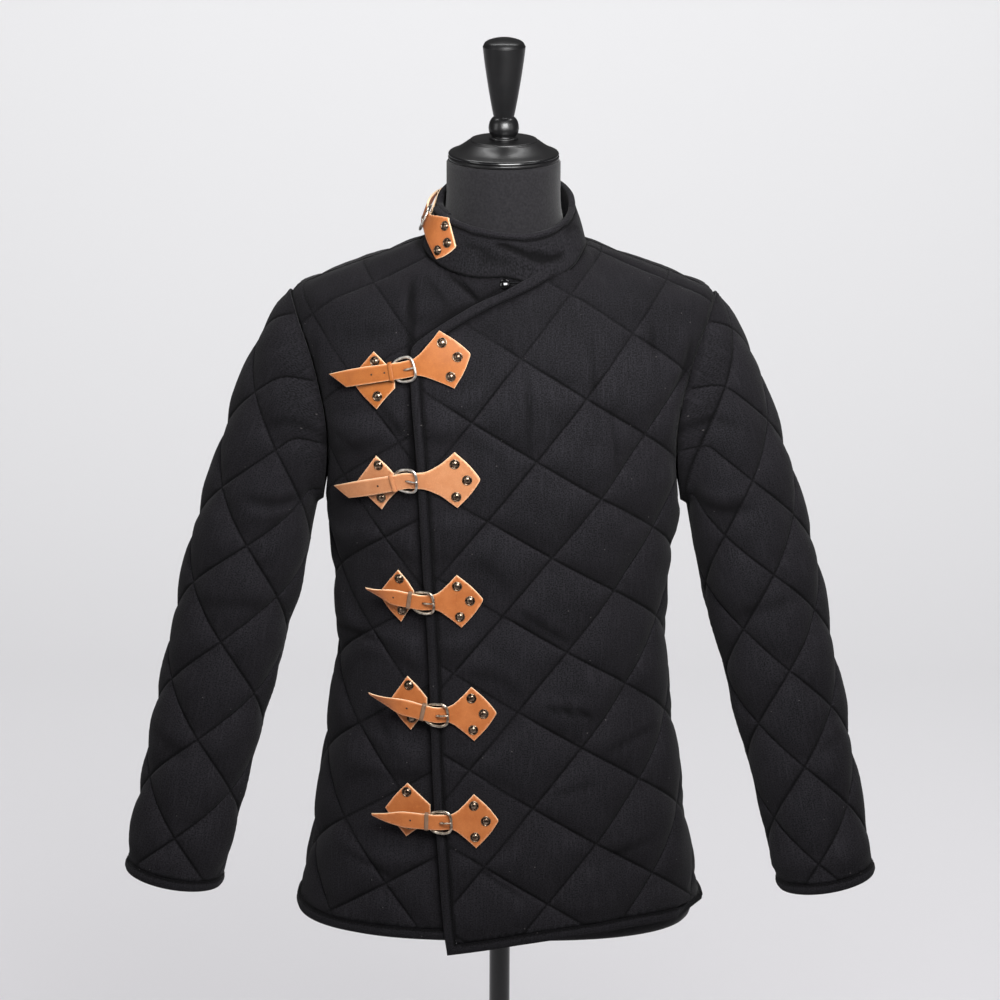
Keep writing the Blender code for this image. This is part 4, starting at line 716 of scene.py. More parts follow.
def jersey_finish():
    """Charcoal jersey drawn tight over the form: a fine vertical rib and a soft fuzz."""
    made = Finish("charcoal_jersey", (0.012, 0.0115, 0.013), 0.9, Sheen_Weight=0.12, Sheen_Roughness=0.5,
                  Specular_IOR_Level=0.12)
    fuzz = made.noise(420.0, 4.0)
    made.colour(made.shades(fuzz, 0.3, 0.7, [(0.0080, 0.0076, 0.0087), (0.0162, 0.0155, 0.0172)]))
    ribs = made.node("ShaderNodeTexVoronoi", Vector=made.place(780.0, True), Scale=1.0).outputs[0]
    made.bump([(fuzz, 0.35, 0.0004), (ribs, 0.25, 0.0003)])
    return made.material


JERSEY = jersey_finish()
print("metal, horn, lacquer and jersey finishes made")

# %% [markdown]
# ## Making pieces
# Each cloth piece is a closed wall: a detailed outer face, a plain inner face and a thin edge between them
# that both faces share. Delaunay triangles fill the flat outline, so a panel may have any shape.


def in_scene(name, data):
    """A new object at the origin."""
    thing = bpy.data.objects.new(name, data)
    bpy.context.scene.collection.objects.link(thing)
    return thing


def new_piece(name, vertices, faces, materials, slot, nodes=(), uv=None, kinds=None, mirrored=False,
              sharp=None, painted_shading=None):
    """A finished piece: mesh, finish, flat coordinates, and the plain solids that it takes the place of."""
    vertices = np.array(vertices, float)
    if mirrored:
        vertices[:, 0] *= -1
        faces = [face[::-1] for face in faces]
        uv = [corner[::-1] for corner in uv]
    mesh = bpy.data.meshes.new(name)
    mesh.from_pydata(vertices.tolist(), [], [tuple(int(i) for i in face) for face in faces])
    for material in materials:
        mesh.materials.append(material)
    if kinds is not None:
        mesh.polygons.foreach_set("material_index", np.array(kinds, np.int32))
    if uv is not None:
        layer = mesh.uv_layers.new(name="flat")
        layer.data.foreach_set("uv", np.concatenate([np.asarray(corner, float) for corner in uv]).ravel())
    if painted_shading is not None:
        layer = mesh.attributes.new("painted_shading", "FLOAT", "POINT")
        layer.data.foreach_set("value", np.asarray(painted_shading, np.float32))
    mesh.shade_smooth()
    if sharp is not None:
        mesh.set_sharp_from_angle(angle=math.radians(sharp))
    return settle(in_scene(name, mesh), slot, nodes)


def settle(thing, slot, nodes=()):
    """Ties a piece to the body it rides on and to the solids it takes the place of."""
    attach(thing, "root")
    if nodes:
        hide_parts(*nodes)
    print(thing.name, len(thing.data.polygons), "faces")
    return thing

# %% A cloth wall
def wall(name, outline, outer_points, inner_points, outer_place, inner_place, material, slot, node,
         mirrored=False, joined=(), painted_shading=None):
    """A closed wall of cloth. joined pairs the outline's points that become one, where a tube closes.

    The last argument gives the painted shade at each place of the outer face; the inner face gets none.
    """
    outer_flat, inner_flat = np.vstack([outline, outer_points]), np.vstack([outline, inner_points])
    count, shift = len(outline), len(outer_flat)
    flat = np.vstack([outer_flat, inner_flat])
    same = dict(pair[::-1] for pair in joined)
    merged = set(same) | set(same.values())
    corners = list(triangles_in(outline, outer_points))
    corners += [tuple(i + shift for i in reversed(face)) for face in triangles_in(outline, inner_points)]
    for i in range(count):
        j = (i + 1) % count
        if not (i in merged and j in merged):
            corners += [(i, i + shift, j + shift), (i, j + shift, j)]
    one = np.arange(len(flat))
    for b, a in same.items():
        one[b], one[b + shift] = a, a + shift
    corners = np.array(corners)
    used, faces = np.unique(one[corners], return_inverse=True)
    vertices = np.vstack([outer_place(outer_flat), inner_place(inner_flat)])
    painted_shade = np.r_[painted_shading(outer_flat), np.zeros(len(inner_flat))]
    return new_piece(name, vertices[used], faces.reshape(corners.shape).tolist(), [material], slot, [node],
                     uv=flat[corners], mirrored=mirrored, painted_shading=painted_shade[used])

# %% [markdown]
# ## Quilting
# Two families of straight stitch lines cross in diamonds. Between them the wadding swells, and each line is
# a narrow groove where the thread pulls the cloth in. Small puckers run across a stitch line and die out
# within a centimetre. The mesh follows the lines: its points lie closest beside them, where the cloth bends
# most.

# %% Painted shade by slope
def painted_slope_shade(height, flat):
    """Painted shade by slope: darker on the lower side of a puff, where the cloth faces down, paler on its
    upper side.
    """
    step = np.array([0.0, 0.0015])
    return 0.16 + 0.80 * (height(flat + step) - height(flat - step)) / 0.003

# %% The quilt
class Quilt:
    """A lattice of stitch lines in flat coordinates, with one crossing at the origin given."""

    def __init__(self, origin, step_a, step_b):
        self.origin = np.array(origin, float)
        self.basis = np.array([step_a, step_b], float)
        self.inverse = np.linalg.inv(self.basis)
        self.sides = np.linalg.norm(self.basis, axis=1)
        self.spacing = abs(np.linalg.det(self.basis)) / self.sides[::-1]

    def cells(self, flat):
        return (np.asarray(flat, float) - self.origin) @ self.inverse

    def reach(self, polygon):
        """The lowest and highest line numbers round a polygon."""
        cells = self.cells(polygon)
        return np.floor(cells.min(axis=0)), np.ceil(cells.max(axis=0))

    def height(self, flat):
        """The wadding's swell, the stitched groove and the puckers beside it."""
        cell = self.cells(flat)
        line = np.round(cell)
        away = np.abs(cell - line) * self.spacing
        full = 1 - (1 - np.clip(away / PUFF_RAMP, 0, 1)) ** 2.3
        pucker = np.zeros(len(cell))
        for k in range(2):
            run = cell[:, 1 - k] * self.sides[1 - k]
            side = np.sign(cell[:, k] - line[:, k])
            waves = ripple_along(run + 0.03 * side, line[:, k] * 0.37 + k * 1.7, 0.0085)
            pucker += 0.00075 * waves * np.exp(-away[:, k] / 0.013) * (1 - hump(away[:, k], 0.0022))
        return PUFF * full[:, 0] * full[:, 1] - 0.0012 * hump(away.min(axis=1), 0.0014) + pucker

    def painted_shading(self, flat):
        """Painted shade along the stitch lines, darkest in their grooves."""
        cell = self.cells(flat)
        away = np.min(np.abs(cell - np.round(cell)) * self.spacing, axis=1)
        return 0.62 * hump(away, 0.0012) + 0.06 * hump(away, 0.0045)

    def points(self, polygon, per_side):
        """Mesh points on the lines and between them, closest beside the lines."""
        t = np.arange(per_side) / per_side
        t = t - 0.72 * np.sin(2 * math.pi * t) / (2 * math.pi)
        reach = zip(*self.reach(polygon))
        a, b = ((np.arange(low, high)[:, None] + t[None, :]).ravel() for low, high in reach)
        aa, bb = np.meshgrid(a, b, indexing="ij")
        return np.stack([aa.ravel(), bb.ravel()], axis=1) @ self.basis + self.origin

    def stitches(self, polygon, pitch):
        """Places and directions of the stitches along every line inside a polygon."""
        low, high = self.reach(polygon)
        places, ways = [], []
        for k in range(2):
            for number in np.arange(low[k], high[k] + 1):
                first, last = low.copy(), high.copy()
                first[k] = last[k] = number
                first, last = first @ self.basis + self.origin, last @ self.basis + self.origin
                count = int(np.linalg.norm(last - first) / pitch)
                at = (np.arange(count) + 0.5)[:, None] / count
                places.append(first + at * (last - first))
                ways.append(np.tile((last - first) / np.linalg.norm(last - first), (count, 1)))
        return np.vstack(places), np.vstack(ways)

# %% [markdown]
# ## Creases
# Cloth that hangs on a form is never quite flat. Long soft troughs and ridges run where it is pulled: from
# the neck towards the button, at the armholes and across some diamonds. Each is listed as a short
# line in flat coordinates with a width and a height, and fades out at both ends.

# %% Soft creases
def creases(flat, rows):
    """Height of the creases: from (u, v), to (u, v), half width, height (below 0 for a trough), bow."""
    flat = np.asarray(flat, float)
    total = np.zeros(len(flat))
    for u0, v0, u1, v1, width, depth, bow in rows:
        way = np.array([u1 - u0, v1 - v0])
        long = np.linalg.norm(way)
        way /= long
        from_start = flat - np.array([u0, v0])
        share = from_start @ way / long
        off = from_start @ np.array([-way[1], way[0]]) - bow * 4 * share * (1 - share)
        fade = ramp(share / 0.35) * ramp((1 - share) / 0.35) * ((share > 0) & (share < 1))
        total += depth * np.exp(-(off / width) ** 2) * fade
    return total


OVERLAP_CREASES = [
    (0.0255, 0.6600, 0.0285, 0.5500, 0.0032, -0.0022, 0.001),
    (0.0335, 0.6600, 0.0365, 0.5600, 0.0040, 0.0010, 0.001),
    (0.0910, 0.6900, 0.0990, 0.5780, 0.0038, -0.0015, 0.002),
    (0.1150, 0.6200, 0.1235, 0.5270, 0.0038, -0.0015, 0.001),
    (0.1610, 0.7100, 0.1690, 0.6200, 0.0050, -0.0012, 0.001),
    (0.2140, 0.6900, 0.1950, 0.6150, 0.0055, -0.0022, 0.006),
    (0.2020, 0.7000, 0.1820, 0.6200, 0.0060, 0.0012, 0.006),
    (0.0400, 0.2700, 0.1100, 0.2530, 0.0040, -0.0024, 0.002),
    (0.0450, 0.2800, 0.1100, 0.2640, 0.0050, 0.0012, 0.002),
    (0.1080, 0.2100, 0.1900, 0.2370, 0.0045, -0.0018, 0.003),
    (-0.0340, 0.0890, 0.0380, 0.0410, 0.0045, -0.0015, 0.001),
    (0.0050, 0.3900, 0.0800, 0.3350, 0.0045, -0.0014, 0.002),
    (0.0500, 0.1700, 0.1100, 0.1850, 0.0045, -0.0013, -0.002),
    (0.0990, 0.0840, 0.1860, 0.1120, 0.0050, -0.0013, 0.002),
]
UNDER_CREASES = [
    (-0.1010, 0.7620, -0.0975, 0.6400, 0.0045, -0.0040, 0.000),
    (-0.1120, 0.7500, -0.1080, 0.6500, 0.0050, 0.0012, 0.000),
    (-0.0995, 0.6600, -0.0990, 0.5000, 0.0040, -0.0022, 0.000),
    (-0.0720, 0.7650, -0.0120, 0.7120, 0.0036, -0.0024, 0.001),
    (-0.0950, 0.7600, -0.0460, 0.6960, 0.0036, -0.0018, 0.001),
    (-0.2110, 0.6900, -0.2060, 0.6000, 0.0060, -0.0020, -0.006),
    (-0.1960, 0.6950, -0.1880, 0.6200, 0.0060, 0.0012, -0.005),
    (-0.1450, 0.6250, -0.1050, 0.5700, 0.0050, -0.0015, 0.003),
    (-0.2050, 0.5880, -0.1400, 0.5500, 0.0045, -0.0016, -0.002),
    (-0.2400, 0.3450, -0.1180, 0.3310, 0.0045, -0.0020, 0.003),
    (-0.1540, 0.2880, -0.1100, 0.1960, 0.0045, -0.0018, 0.002),
    (-0.1980, 0.0980, -0.1020, 0.0600, 0.0045, -0.0014, 0.002),
]
BACK_CREASES = [
    (-0.0550, 0.7000, 0.0550, 0.7000, 0.0080, -0.0016, -0.012),
    (-0.0450, 0.6860, 0.0450, 0.6860, 0.0080, 0.0011, -0.010),
    (-0.2150, 0.6800, -0.1900, 0.6000, 0.0080, -0.0018, -0.006),
    (0.2150, 0.6800, 0.1900, 0.6000, 0.0080, -0.0018, 0.006),
    (-0.1200, 0.3800, -0.0200, 0.3600, 0.0100, -0.0013, -0.006),
    (0.0300, 0.3500, 0.1350, 0.3750, 0.0100, -0.0012, -0.006),
    (-0.0900, 0.3300, 0.0500, 0.3250, 0.0110, 0.0010, -0.005),
    (0.1000, 0.1500, 0.1700, 0.1000, 0.0100, -0.0010, 0.004),
    (-0.1700, 0.1600, -0.0900, 0.1000, 0.0100, 0.0010, 0.004),
]
SLEEVE_CREASES = {
    "left": [
        (-0.0700, 0.4700, 0.0350, 0.4500, 0.0080, -0.0020, -0.010),
        (-0.0600, 0.4850, 0.0400, 0.4660, 0.0080, 0.0013, -0.010),
        (-0.0500, 0.3150, 0.0600, 0.3300, 0.0090, -0.0014, 0.010),
        (-0.0300, 0.5700, 0.0300, 0.5350, 0.0080, -0.0016, 0.005),
        (0.0100, 0.1500, 0.0900, 0.1700, 0.0080, -0.0010, 0.006),
        (-0.1000, 0.5600, -0.0550, 0.5000, 0.0080, -0.0018, 0.004),
    ],
    "right": [
        (-0.0650, 0.4750, 0.0400, 0.4550, 0.0080, -0.0020, -0.010),
        (-0.0550, 0.4600, 0.0300, 0.4420, 0.0080, 0.0012, -0.010),
        (-0.0500, 0.3300, 0.0500, 0.3150, 0.0090, -0.0013, 0.010),
        (-0.0300, 0.5600, 0.0350, 0.5300, 0.0080, -0.0015, 0.005),
        (0.0000, 0.1400, 0.0850, 0.1650, 0.0080, -0.0011, 0.006),
        (-0.1000, 0.5500, -0.0500, 0.5000, 0.0080, -0.0018, 0.004),
    ],
}
print("creases", len(OVERLAP_CREASES) + len(UNDER_CREASES) + len(BACK_CREASES), "on the body")

# %% [markdown]
# ## The body's panels
# The gambeson has a left front that overlaps, a right front that runs on under it, and a back. Their
# outlines are drawn flat: side seam, armhole, shoulder seam, neck and hem. A strip of tape binds the front
# edge and the hem. Beside the leather the wadding is pressed down.

# %% Outlines of the body's panels
ARM_TALL, ARM_DEEP = ARM_HALF_TALL - ARM_TUCK, ARM_HALF_DEEP - ARM_TUCK
OTHER_SIDE = np.array([-1.0, 1.0])


def side_point(near_front, z):
    """Flat coordinates of the side seam at a height, on the +u side."""
    return flat_place(FRONT if near_front else BACK, u_at_depth(0.0, z, near_front) - SEAM_GAP, z)


def skew(turn):
    """How far the collar's foot bulges forward between the front and the wearer's left side."""
    return COLLAR_SKEW * max(0.0, math.sin(2 * turn)) * max(0.0, math.sin(turn))


def neck_point(turn):
    """Plan position on the neck edge of the body panels; turn 0 is the front, positive towards +X."""
    half_width, half_deep, middle = COLLAR_FOOT
    wide, deep = half_width - COLLAR_WALL - SEAM_GAP, half_deep - COLLAR_WALL - SEAM_GAP
    return wide * math.sin(turn), middle - deep * math.cos(turn) - skew(turn)


SIDE_TURN = math.acos(COLLAR_FOOT[2] / (COLLAR_FOOT[1] - COLLAR_WALL))   # where neck and shoulder seam meet


def neck_edge(turns, near_front):
    """Flat points along the neck edge of the body."""
    rows = []
    for x, y in map(neck_point, turns):
        z = height_at(x, y)
        u = math.copysign(u_at_depth(-y if near_front else y, z, near_front), x if near_front else -x)
        rows.append(flat_place(FRONT if near_front else BACK, u, z))
    return np.array(rows)


def half_outline(near_front):
    """Side seam, armhole and shoulder seam of one half, from the hem to the neck, on the +u side."""
    bottom, top = HEM_HEIGHT + BINDING + SEAM_GAP, ARM_HEIGHT - ARM_HALF_TALL + ARM_TUCK
    rows = [side_point(near_front, z) for z in np.linspace(bottom, top, int((top - bottom) / FINE) + 1)]
    rows += [at_depth(ARM_DEEP * math.cos(turn), ARM_HEIGHT + ARM_TALL * math.sin(turn), near_front)
             for turn in np.linspace(-math.pi / 2, math.pi / 2, 101)[1:-1]]
    low, high = ARM_HEIGHT + ARM_HALF_TALL - ARM_TUCK, height_at(*neck_point(SIDE_TURN))
    return np.array(rows + [at_depth(RIDGE_GAP, z, near_front) for z in np.linspace(low, high, 60)])


def along(tilt):
    """Unit vector at a tilt in degrees."""
    return np.array([math.cos(math.radians(tilt)), math.sin(math.radians(tilt))])


def press(flat):
    """Share of the padding that is left beside the leather fastenings."""
    left = np.ones(len(flat))
    for u, v, tilt, neck, tail_tilt, tail, *_ in STRAPS:
        centre = np.array([u, v])
        line = [centre - (tail + 0.004) * along(tail_tilt), centre, centre + (neck + 0.02) * along(tilt)]
        left = np.minimum(left, PRESS_LEFT + (1 - PRESS_LEFT) * ramp((off_line(flat, line) - 0.036) / 0.020))
    return left


def lap_lift(flat):
    """How far the overlapping front lies out, over the under front."""
    rows = np.array(LAP_END)
    reach, run = (np.interp(flat[:, 1], rows[:, 0], rows[:, k]) for k in (1, 2))
    return OVERLAP_LIFT * (1 - ramp((flat[:, 0] - reach) / run))


def no_lift(flat):
    """A panel that lies straight on the body's sheet."""
    return np.zeros(len(flat))


def cut_at(line, curve, keep=None):
    """The line from the place where it first crosses the curve, and that place's share along the curve.

    keep is the first point of the line that stays whole, for a line that has to match one cut before.
    """
    for i, (a, b) in enumerate(zip(line[:-1], line[1:])):
        for j, (c, d) in enumerate(zip(curve[:-1], curve[1:])):
            basis = np.stack([b - a, c - d], axis=1)
            if abs(np.linalg.det(basis)) < 1e-14:
                continue
            s, t = np.linalg.solve(basis, c - a)
            if 0 <= s <= 1 and 0 <= t <= 1:
                keep = keep or (i + 1 if s < 0.6 else i + 2)
                return np.vstack([a + s * (b - a), line[keep:]]), (j + t) / (len(curve) - 1), keep
    raise ValueError("the lines don't cross")

# %% A quilted panel and a bound edge
STITCHES = {}
STITCH_PITCH = 0.0046
BAND_DOWN = 0.0065         # a stitched band runs this far below the neck seam


def folded(rows, flat, depth=0.0022):
    """How deep a place lies in a crease, from 0 to 1."""
    return np.clip(-creases(flat, rows) / depth, 0, 1)


def quilted_wall(name, node, sheet, outline, quilt, height, painted_shade, lift=no_lift, cover=None, joined=(),
                 mirrored=False):
    """A quilted wall on a sheet, with its stitches noted for later; cover is an edge that lies over it."""
    outer = keep_clear(quilt.points(outline, PER_CELL), outline, 0.0018)
    inner = keep_clear(grid_points(outline, INNER_STEP), outline, 0.005)
    thing = wall(name, outline, outer, inner, lambda flat: sheet.place(flat, height(flat)),
                 lambda flat: sheet.place(flat, lift(flat)), CLOTH, "quilted_cloth", node, mirrored, joined,
                 painted_shade)
    places, ways = quilt.stitches(outline, STITCH_PITCH)
    keep = is_inside(places, outline)
    keep[keep] = distance_to_line(places[keep], outline) > 0.003
    if cover is not None:
        keep &= places[:, 0] < np.interp(places[:, 1], *cover) - 0.004
    STITCHES[name] = (sheet, places[keep], ways[keep], height(places[keep]), mirrored)
    return thing, outline


def cloth_panel(name, node, sheet, outline, quilt, folds, seed, neck, lift=no_lift, cover=None,
                beside_edge=None):
    """A quilted panel of the body: softer on the shoulders, flat at its seams and under the leather."""
    def padding(flat):
        share = press(flat) if sheet is FRONT else np.ones(len(flat))
        if cover is not None:
            share = share * ramp((np.interp(flat[:, 1], *cover) - flat[:, 0] - 0.010) / 0.02)
        calm = np.clip((share - PRESS_LEFT) / (1 - PRESS_LEFT), 0, 1)
        hills = 0.0012 * ripple(flat, 0.085, seed) + 0.0006 * ripple(flat, 0.034, seed + 1)
        hills += 0.00016 * ripple(flat, 0.012, seed + 2)
        share = share * (1 - 0.55 * ramp((flat[:, 1] - 0.600) / 0.110))
        return share * quilt.height(flat) + calm * (hills + creases(flat, folds))

    def height(flat):
        soft = ramp((distance_to_line(flat, outline) - 0.0015) / EDGE_RAMP)
        band = -0.0016 * hump(off_line(flat, neck) - BAND_DOWN, 0.0015)
        return lift(flat) + WALL + soft * padding(flat) + band

    # Painted shade: darker along the seams, below the neck band, in the stitch lines and creases and on the
    # lower side of each puff.
    def painted_shade(flat):
        seams = 0.45 * hump(distance_to_line(flat, outline), 0.0022)
        neck_band_shade = 0.8 * hump(off_line(flat, neck) - BAND_DOWN, 0.0020)
        # Painted shadow on the under front beside the overlapping front's edge.
        overlap_shadow = 0.0 if beside_edge is None else 0.6 * hump(off_line(flat, beside_edge), 0.0055)
        lines = quilt.painted_shading(flat) * (1 - 0.6 * ramp((flat[:, 1] - 0.600) / 0.110))
        # Painted shade: darker towards the shoulders' tops.
        shoulder_shade = 0.20 * ramp((flat[:, 1] - 0.655) / 0.060)
        return np.clip(painted_slope_shade(padding, flat) + lines + seams + neck_band_shade + folded(folds, flat) * 0.5
                       + overlap_shadow + shoulder_shade, 0, 0.92)

    return quilted_wall(name, node, sheet, outline, quilt, height, painted_shade, lift, cover)


def strip(name, node, sheet, edge, seam, lift=no_lift, joined=(), mirrored=False):
    """A bound edge: a narrow fold of tape, fuller along its middle, stitched down beside its seam."""
    outline = np.vstack([edge, seam[::-1]])
    if twice_area(outline) < 0:
        outline = outline[::-1]
        joined = [(len(outline) - 1 - b, len(outline) - 1 - a) for a, b in joined]
    nearest = np.argmin(np.linalg.norm(edge[:, None] - seam[None], axis=2), axis=1)
    rows = [edge + (seam[nearest] - edge) * share for share in (0.12, 0.26, 0.42, 0.58, 0.72, 0.82, 0.90)]
    middle = keep_clear(np.vstack(rows), outline, 0.0007)
    apart = np.linalg.norm(middle[:, None] - middle[None], axis=2) + np.eye(len(middle))
    middle = middle[[not (apart[i, :i] < 0.0006).any() for i in range(len(middle))]]

    def height(flat):
        from_edge, from_seam = off_line(flat, edge), off_line(flat, seam)
        full = ramp(from_edge / 0.0030) * ramp(from_seam / 0.0050)
        waves = 0.0002 * ripple(flat, 0.014, 40) + 0.0004 * ripple(flat, 0.05, 41)
        thread = 0.0007 * hump(from_seam - 0.0016, 0.0009)
        return lift(flat) + WALL + 0.0003 + (BOUND_WALL - WALL) * full - thread + waves * full

    # The last argument is painted shade: a slight darkening all over and more in the groove beside the
    # stitched seam.
    wall(name, outline, middle, np.zeros((0, 2)), lambda flat: sheet.place(flat, height(flat)),
         lambda flat: sheet.place(flat, lift(flat)), BINDING_CLOTH, "bound_edge", node, mirrored, joined,
         lambda flat: 0.12 + 0.8 * hump(off_line(flat, seam) - 0.0010, 0.0016))


def edge_stitches(name, sheet, line, lift=no_lift, mirrored=False):
    """A row of stitches beside a bound edge's seam, noted for later."""
    row = even(beside(line, -0.0016), 0.0040, False)
    STITCHES[name] = (sheet, row, unit(np.gradient(row, axis=0)), lift(row) + WALL + 0.0010, mirrored)

# %% The overlapping left front
def build_overlap():
    """The left front: its edge is cut at the neck, and its bound edge turns the corner into the hem."""
    whole_edge = even(on_front(OVERLAP_EDGE), FINE)
    side = half_outline(True)
    hem = np.vstack([even(on_front(OVERLAP_HEM), FINE), side_point(True, HEM_HEIGHT)])
    curve = neck_edge(np.linspace(SIDE_TURN, 0.0, 121), True)
    edge = cut_at(whole_edge, curve)[0]
    seams, keep = [], None
    for distance, end in ((BINDING, side_point(True, HEM_HEIGHT + BINDING)), (BINDING + SEAM_GAP, side[0])):
        edge_seam, share, keep = cut_at(beside(whole_edge, distance), curve, keep)
        hem_seam = beside(hem, distance)
        corner = hem_seam[0] + (edge_seam[-1] - edge[-1])
        spare = int(distance / FINE) + 1
        seams.append(np.vstack([edge_seam[:-spare], corner, hem_seam[spare:-1], end]))
    strip("left_front_binding", "binding_front_left", FRONT, np.vstack([edge, hem[1:]]), seams[0], lap_lift)
    edge_stitches("left_front_edge_stitches", FRONT, seams[0][:-1], lap_lift)
    neck = neck_edge(np.linspace(SIDE_TURN, SIDE_TURN * (1 - share), 40)[1:-1], True)
    return cloth_panel("left_front_cloth", "front_left", FRONT, np.vstack([seams[1], side[1:], neck]),
                       Quilt(FRONT_CROSSING, STEP_DOWN, STEP_UP), OVERLAP_CREASES, 11, neck, lap_lift)


LEFT_FRONT = build_overlap()

# %% The right front
def build_under_front():
    """The right front: bound only at its hem, as its free edge is hidden under the overlap."""
    hem_to = flat_place(FRONT, u_at_x(UNDER_EDGE_HEM, HEM_HEIGHT), HEM_HEIGHT)
    hem = even([side_point(True, HEM_HEIGHT) * OTHER_SIDE, hem_to], FINE, False)
    hem_seam = beside(hem, BINDING)
    hem_seam[0] = side_point(True, HEM_HEIGHT + BINDING) * OTHER_SIDE
    strip("right_front_binding", "binding_front_right", FRONT, hem, hem_seam)
    edge_stitches("right_front_hem_stitches", FRONT, hem_seam[1:])
    hem_seam = beside(hem, BINDING + SEAM_GAP)
    top_turn = math.asin(UNDER_EDGE_TOP / (COLLAR_FOOT[0] - COLLAR_WALL))
    neck = neck_edge(np.linspace(top_turn, -SIDE_TURN, 70)[:-1], True)
    free = even([hem_seam[-1], neck[0]], 0.010, False)
    outline = np.vstack([hem_seam[1:-1], free[:-1], neck, half_outline(True)[::-1] * OTHER_SIDE])
    edge = even(on_front(OVERLAP_EDGE), 0.010)
    order = np.argsort(edge[:, 1])
    quilt = Quilt(UNDER_CROSSING, STEP_DOWN * OTHER_SIDE, STEP_UP * OTHER_SIDE)
    return cloth_panel("right_front_cloth", "front_right", FRONT, outline, quilt, UNDER_CREASES, 21, neck,
                       cover=(edge[order, 1], edge[order, 0] + 0.012), beside_edge=edge)


RIGHT_FRONT = build_under_front()

# %% The back
def build_back():
    """The back: one panel from side seam to side seam, bound at its hem."""
    half = half_outline(False)
    hem_end = side_point(False, HEM_HEIGHT)
    hem = even([hem_end * OTHER_SIDE, hem_end], FINE, False)
    hem_seam = beside(hem, BINDING)
    hem_seam[-1] = side_point(False, HEM_HEIGHT + BINDING)
    hem_seam[0] = hem_seam[-1] * OTHER_SIDE
    strip("back_binding", "binding_back", BACK, hem, hem_seam)
    edge_stitches("back_hem_stitches", BACK, hem_seam[1:-1])
    neck = neck_edge(np.linspace(2 * math.pi - SIDE_TURN, SIDE_TURN, 80)[1:-1], False)
    outline = np.vstack([beside(hem, BINDING + SEAM_GAP)[1:-1], half, neck, half[::-1] * OTHER_SIDE])
    quilt = Quilt(BACK_CROSSING, BACK_STEP, BACK_STEP * OTHER_SIDE)
    return cloth_panel("back_cloth", "back", BACK, outline, quilt, BACK_CREASES, 31, neck)


BACK_PANEL = build_back()

# %% [markdown]
# ## Sleeves
# A sleeve is one panel closed by a seam under the arm. Its sheet is a loft from the cuff to the armhole.
# The seam's two rows of points become one row, but keep their own flat coordinates, so that the weave
# doesn't smear across the seam. The right sleeve is the left one mirrored, with its own stitch lines.

# %% The sleeve's sheet
SLEEVE_ROWS = 76
UNDERARM_EASE = 0.0030     # the sleeve's wall folds in towards the body under the arm
SLEEVE_TURNS = np.linspace(-0.75 * math.pi, 1.75 * math.pi, 181)


def armhole_point(turn):
    """A point of the left armhole on the body's outer face; turn 0 is the front, a right angle the top."""
    deep, z = -ARM_HALF_DEEP * math.cos(turn), ARM_HEIGHT + ARM_HALF_TALL * math.sin(turn)
    near_front = deep <= 0
    u = u_at_depth(abs(deep), z, near_front) * (1 if near_front else -1)
    stand_off = WALL + SEAT_GAP + UNDERARM_EASE * max(0.0, -math.sin(turn))
    return (FRONT if near_front else BACK).point_at(*grid_place(u, z), stand_off)


def sleeve_sheet():
    """The left sleeve's inner face from cuff to armhole, u round it from the front and v up from the cuff."""
    out_x, out_z, in_x, in_z, y, half_deep = np.array(SLEEVE_SECTIONS).T
    middle = np.stack([(out_x + in_x) / 2, (out_z + in_z) / 2, y], axis=1)
    run = run_along(np.vstack([middle, (0.2120, ARM_HEIGHT, 0.0)]))
    at = np.linspace(0.0, run[-1], SLEEVE_ROWS)
    grid = np.zeros((len(SLEEVE_TURNS), SLEEVE_ROWS, 3))
    for i, turn in enumerate(SLEEVE_TURNS):
        outwards = 0.5 * (1 + math.sin(turn))
        line = np.stack([in_x + (out_x - in_x) * outwards, y - half_deep * math.cos(turn),
                         in_z + (out_z - in_z) * outwards], axis=1)
        grid[i] = smooth(run, np.vstack([line, armhole_point(turn)]), at)
    deep = smooth(run, np.r_[half_deep, ARM_HALF_DEEP], at)
    return Sheet(grid, SLEEVE_TURNS[:, None] * (deep[None, :] + 0.002), run_up(grid))


SLEEVE = sleeve_sheet()


def turn_place(turn):
    """The sleeve's grid column at a turn."""
    return (turn - SLEEVE_TURNS[0]) / (SLEEVE_TURNS[1] - SLEEVE_TURNS[0])


def row_at_v(turn, v):
    """The sleeve's grid row that lies v above the cuff on one side."""
    rows = np.arange(SLEEVE_ROWS, dtype=float)
    return float(np.interp(v, Sheet.read(SLEEVE.v, np.full(SLEEVE_ROWS, turn_place(turn)), rows), rows))


def level(turns, v):
    """Flat points round the sleeve, v above the cuff."""
    return np.array([SLEEVE.flat_at(turn_place(turn), row_at_v(turn, v)) for turn in turns])

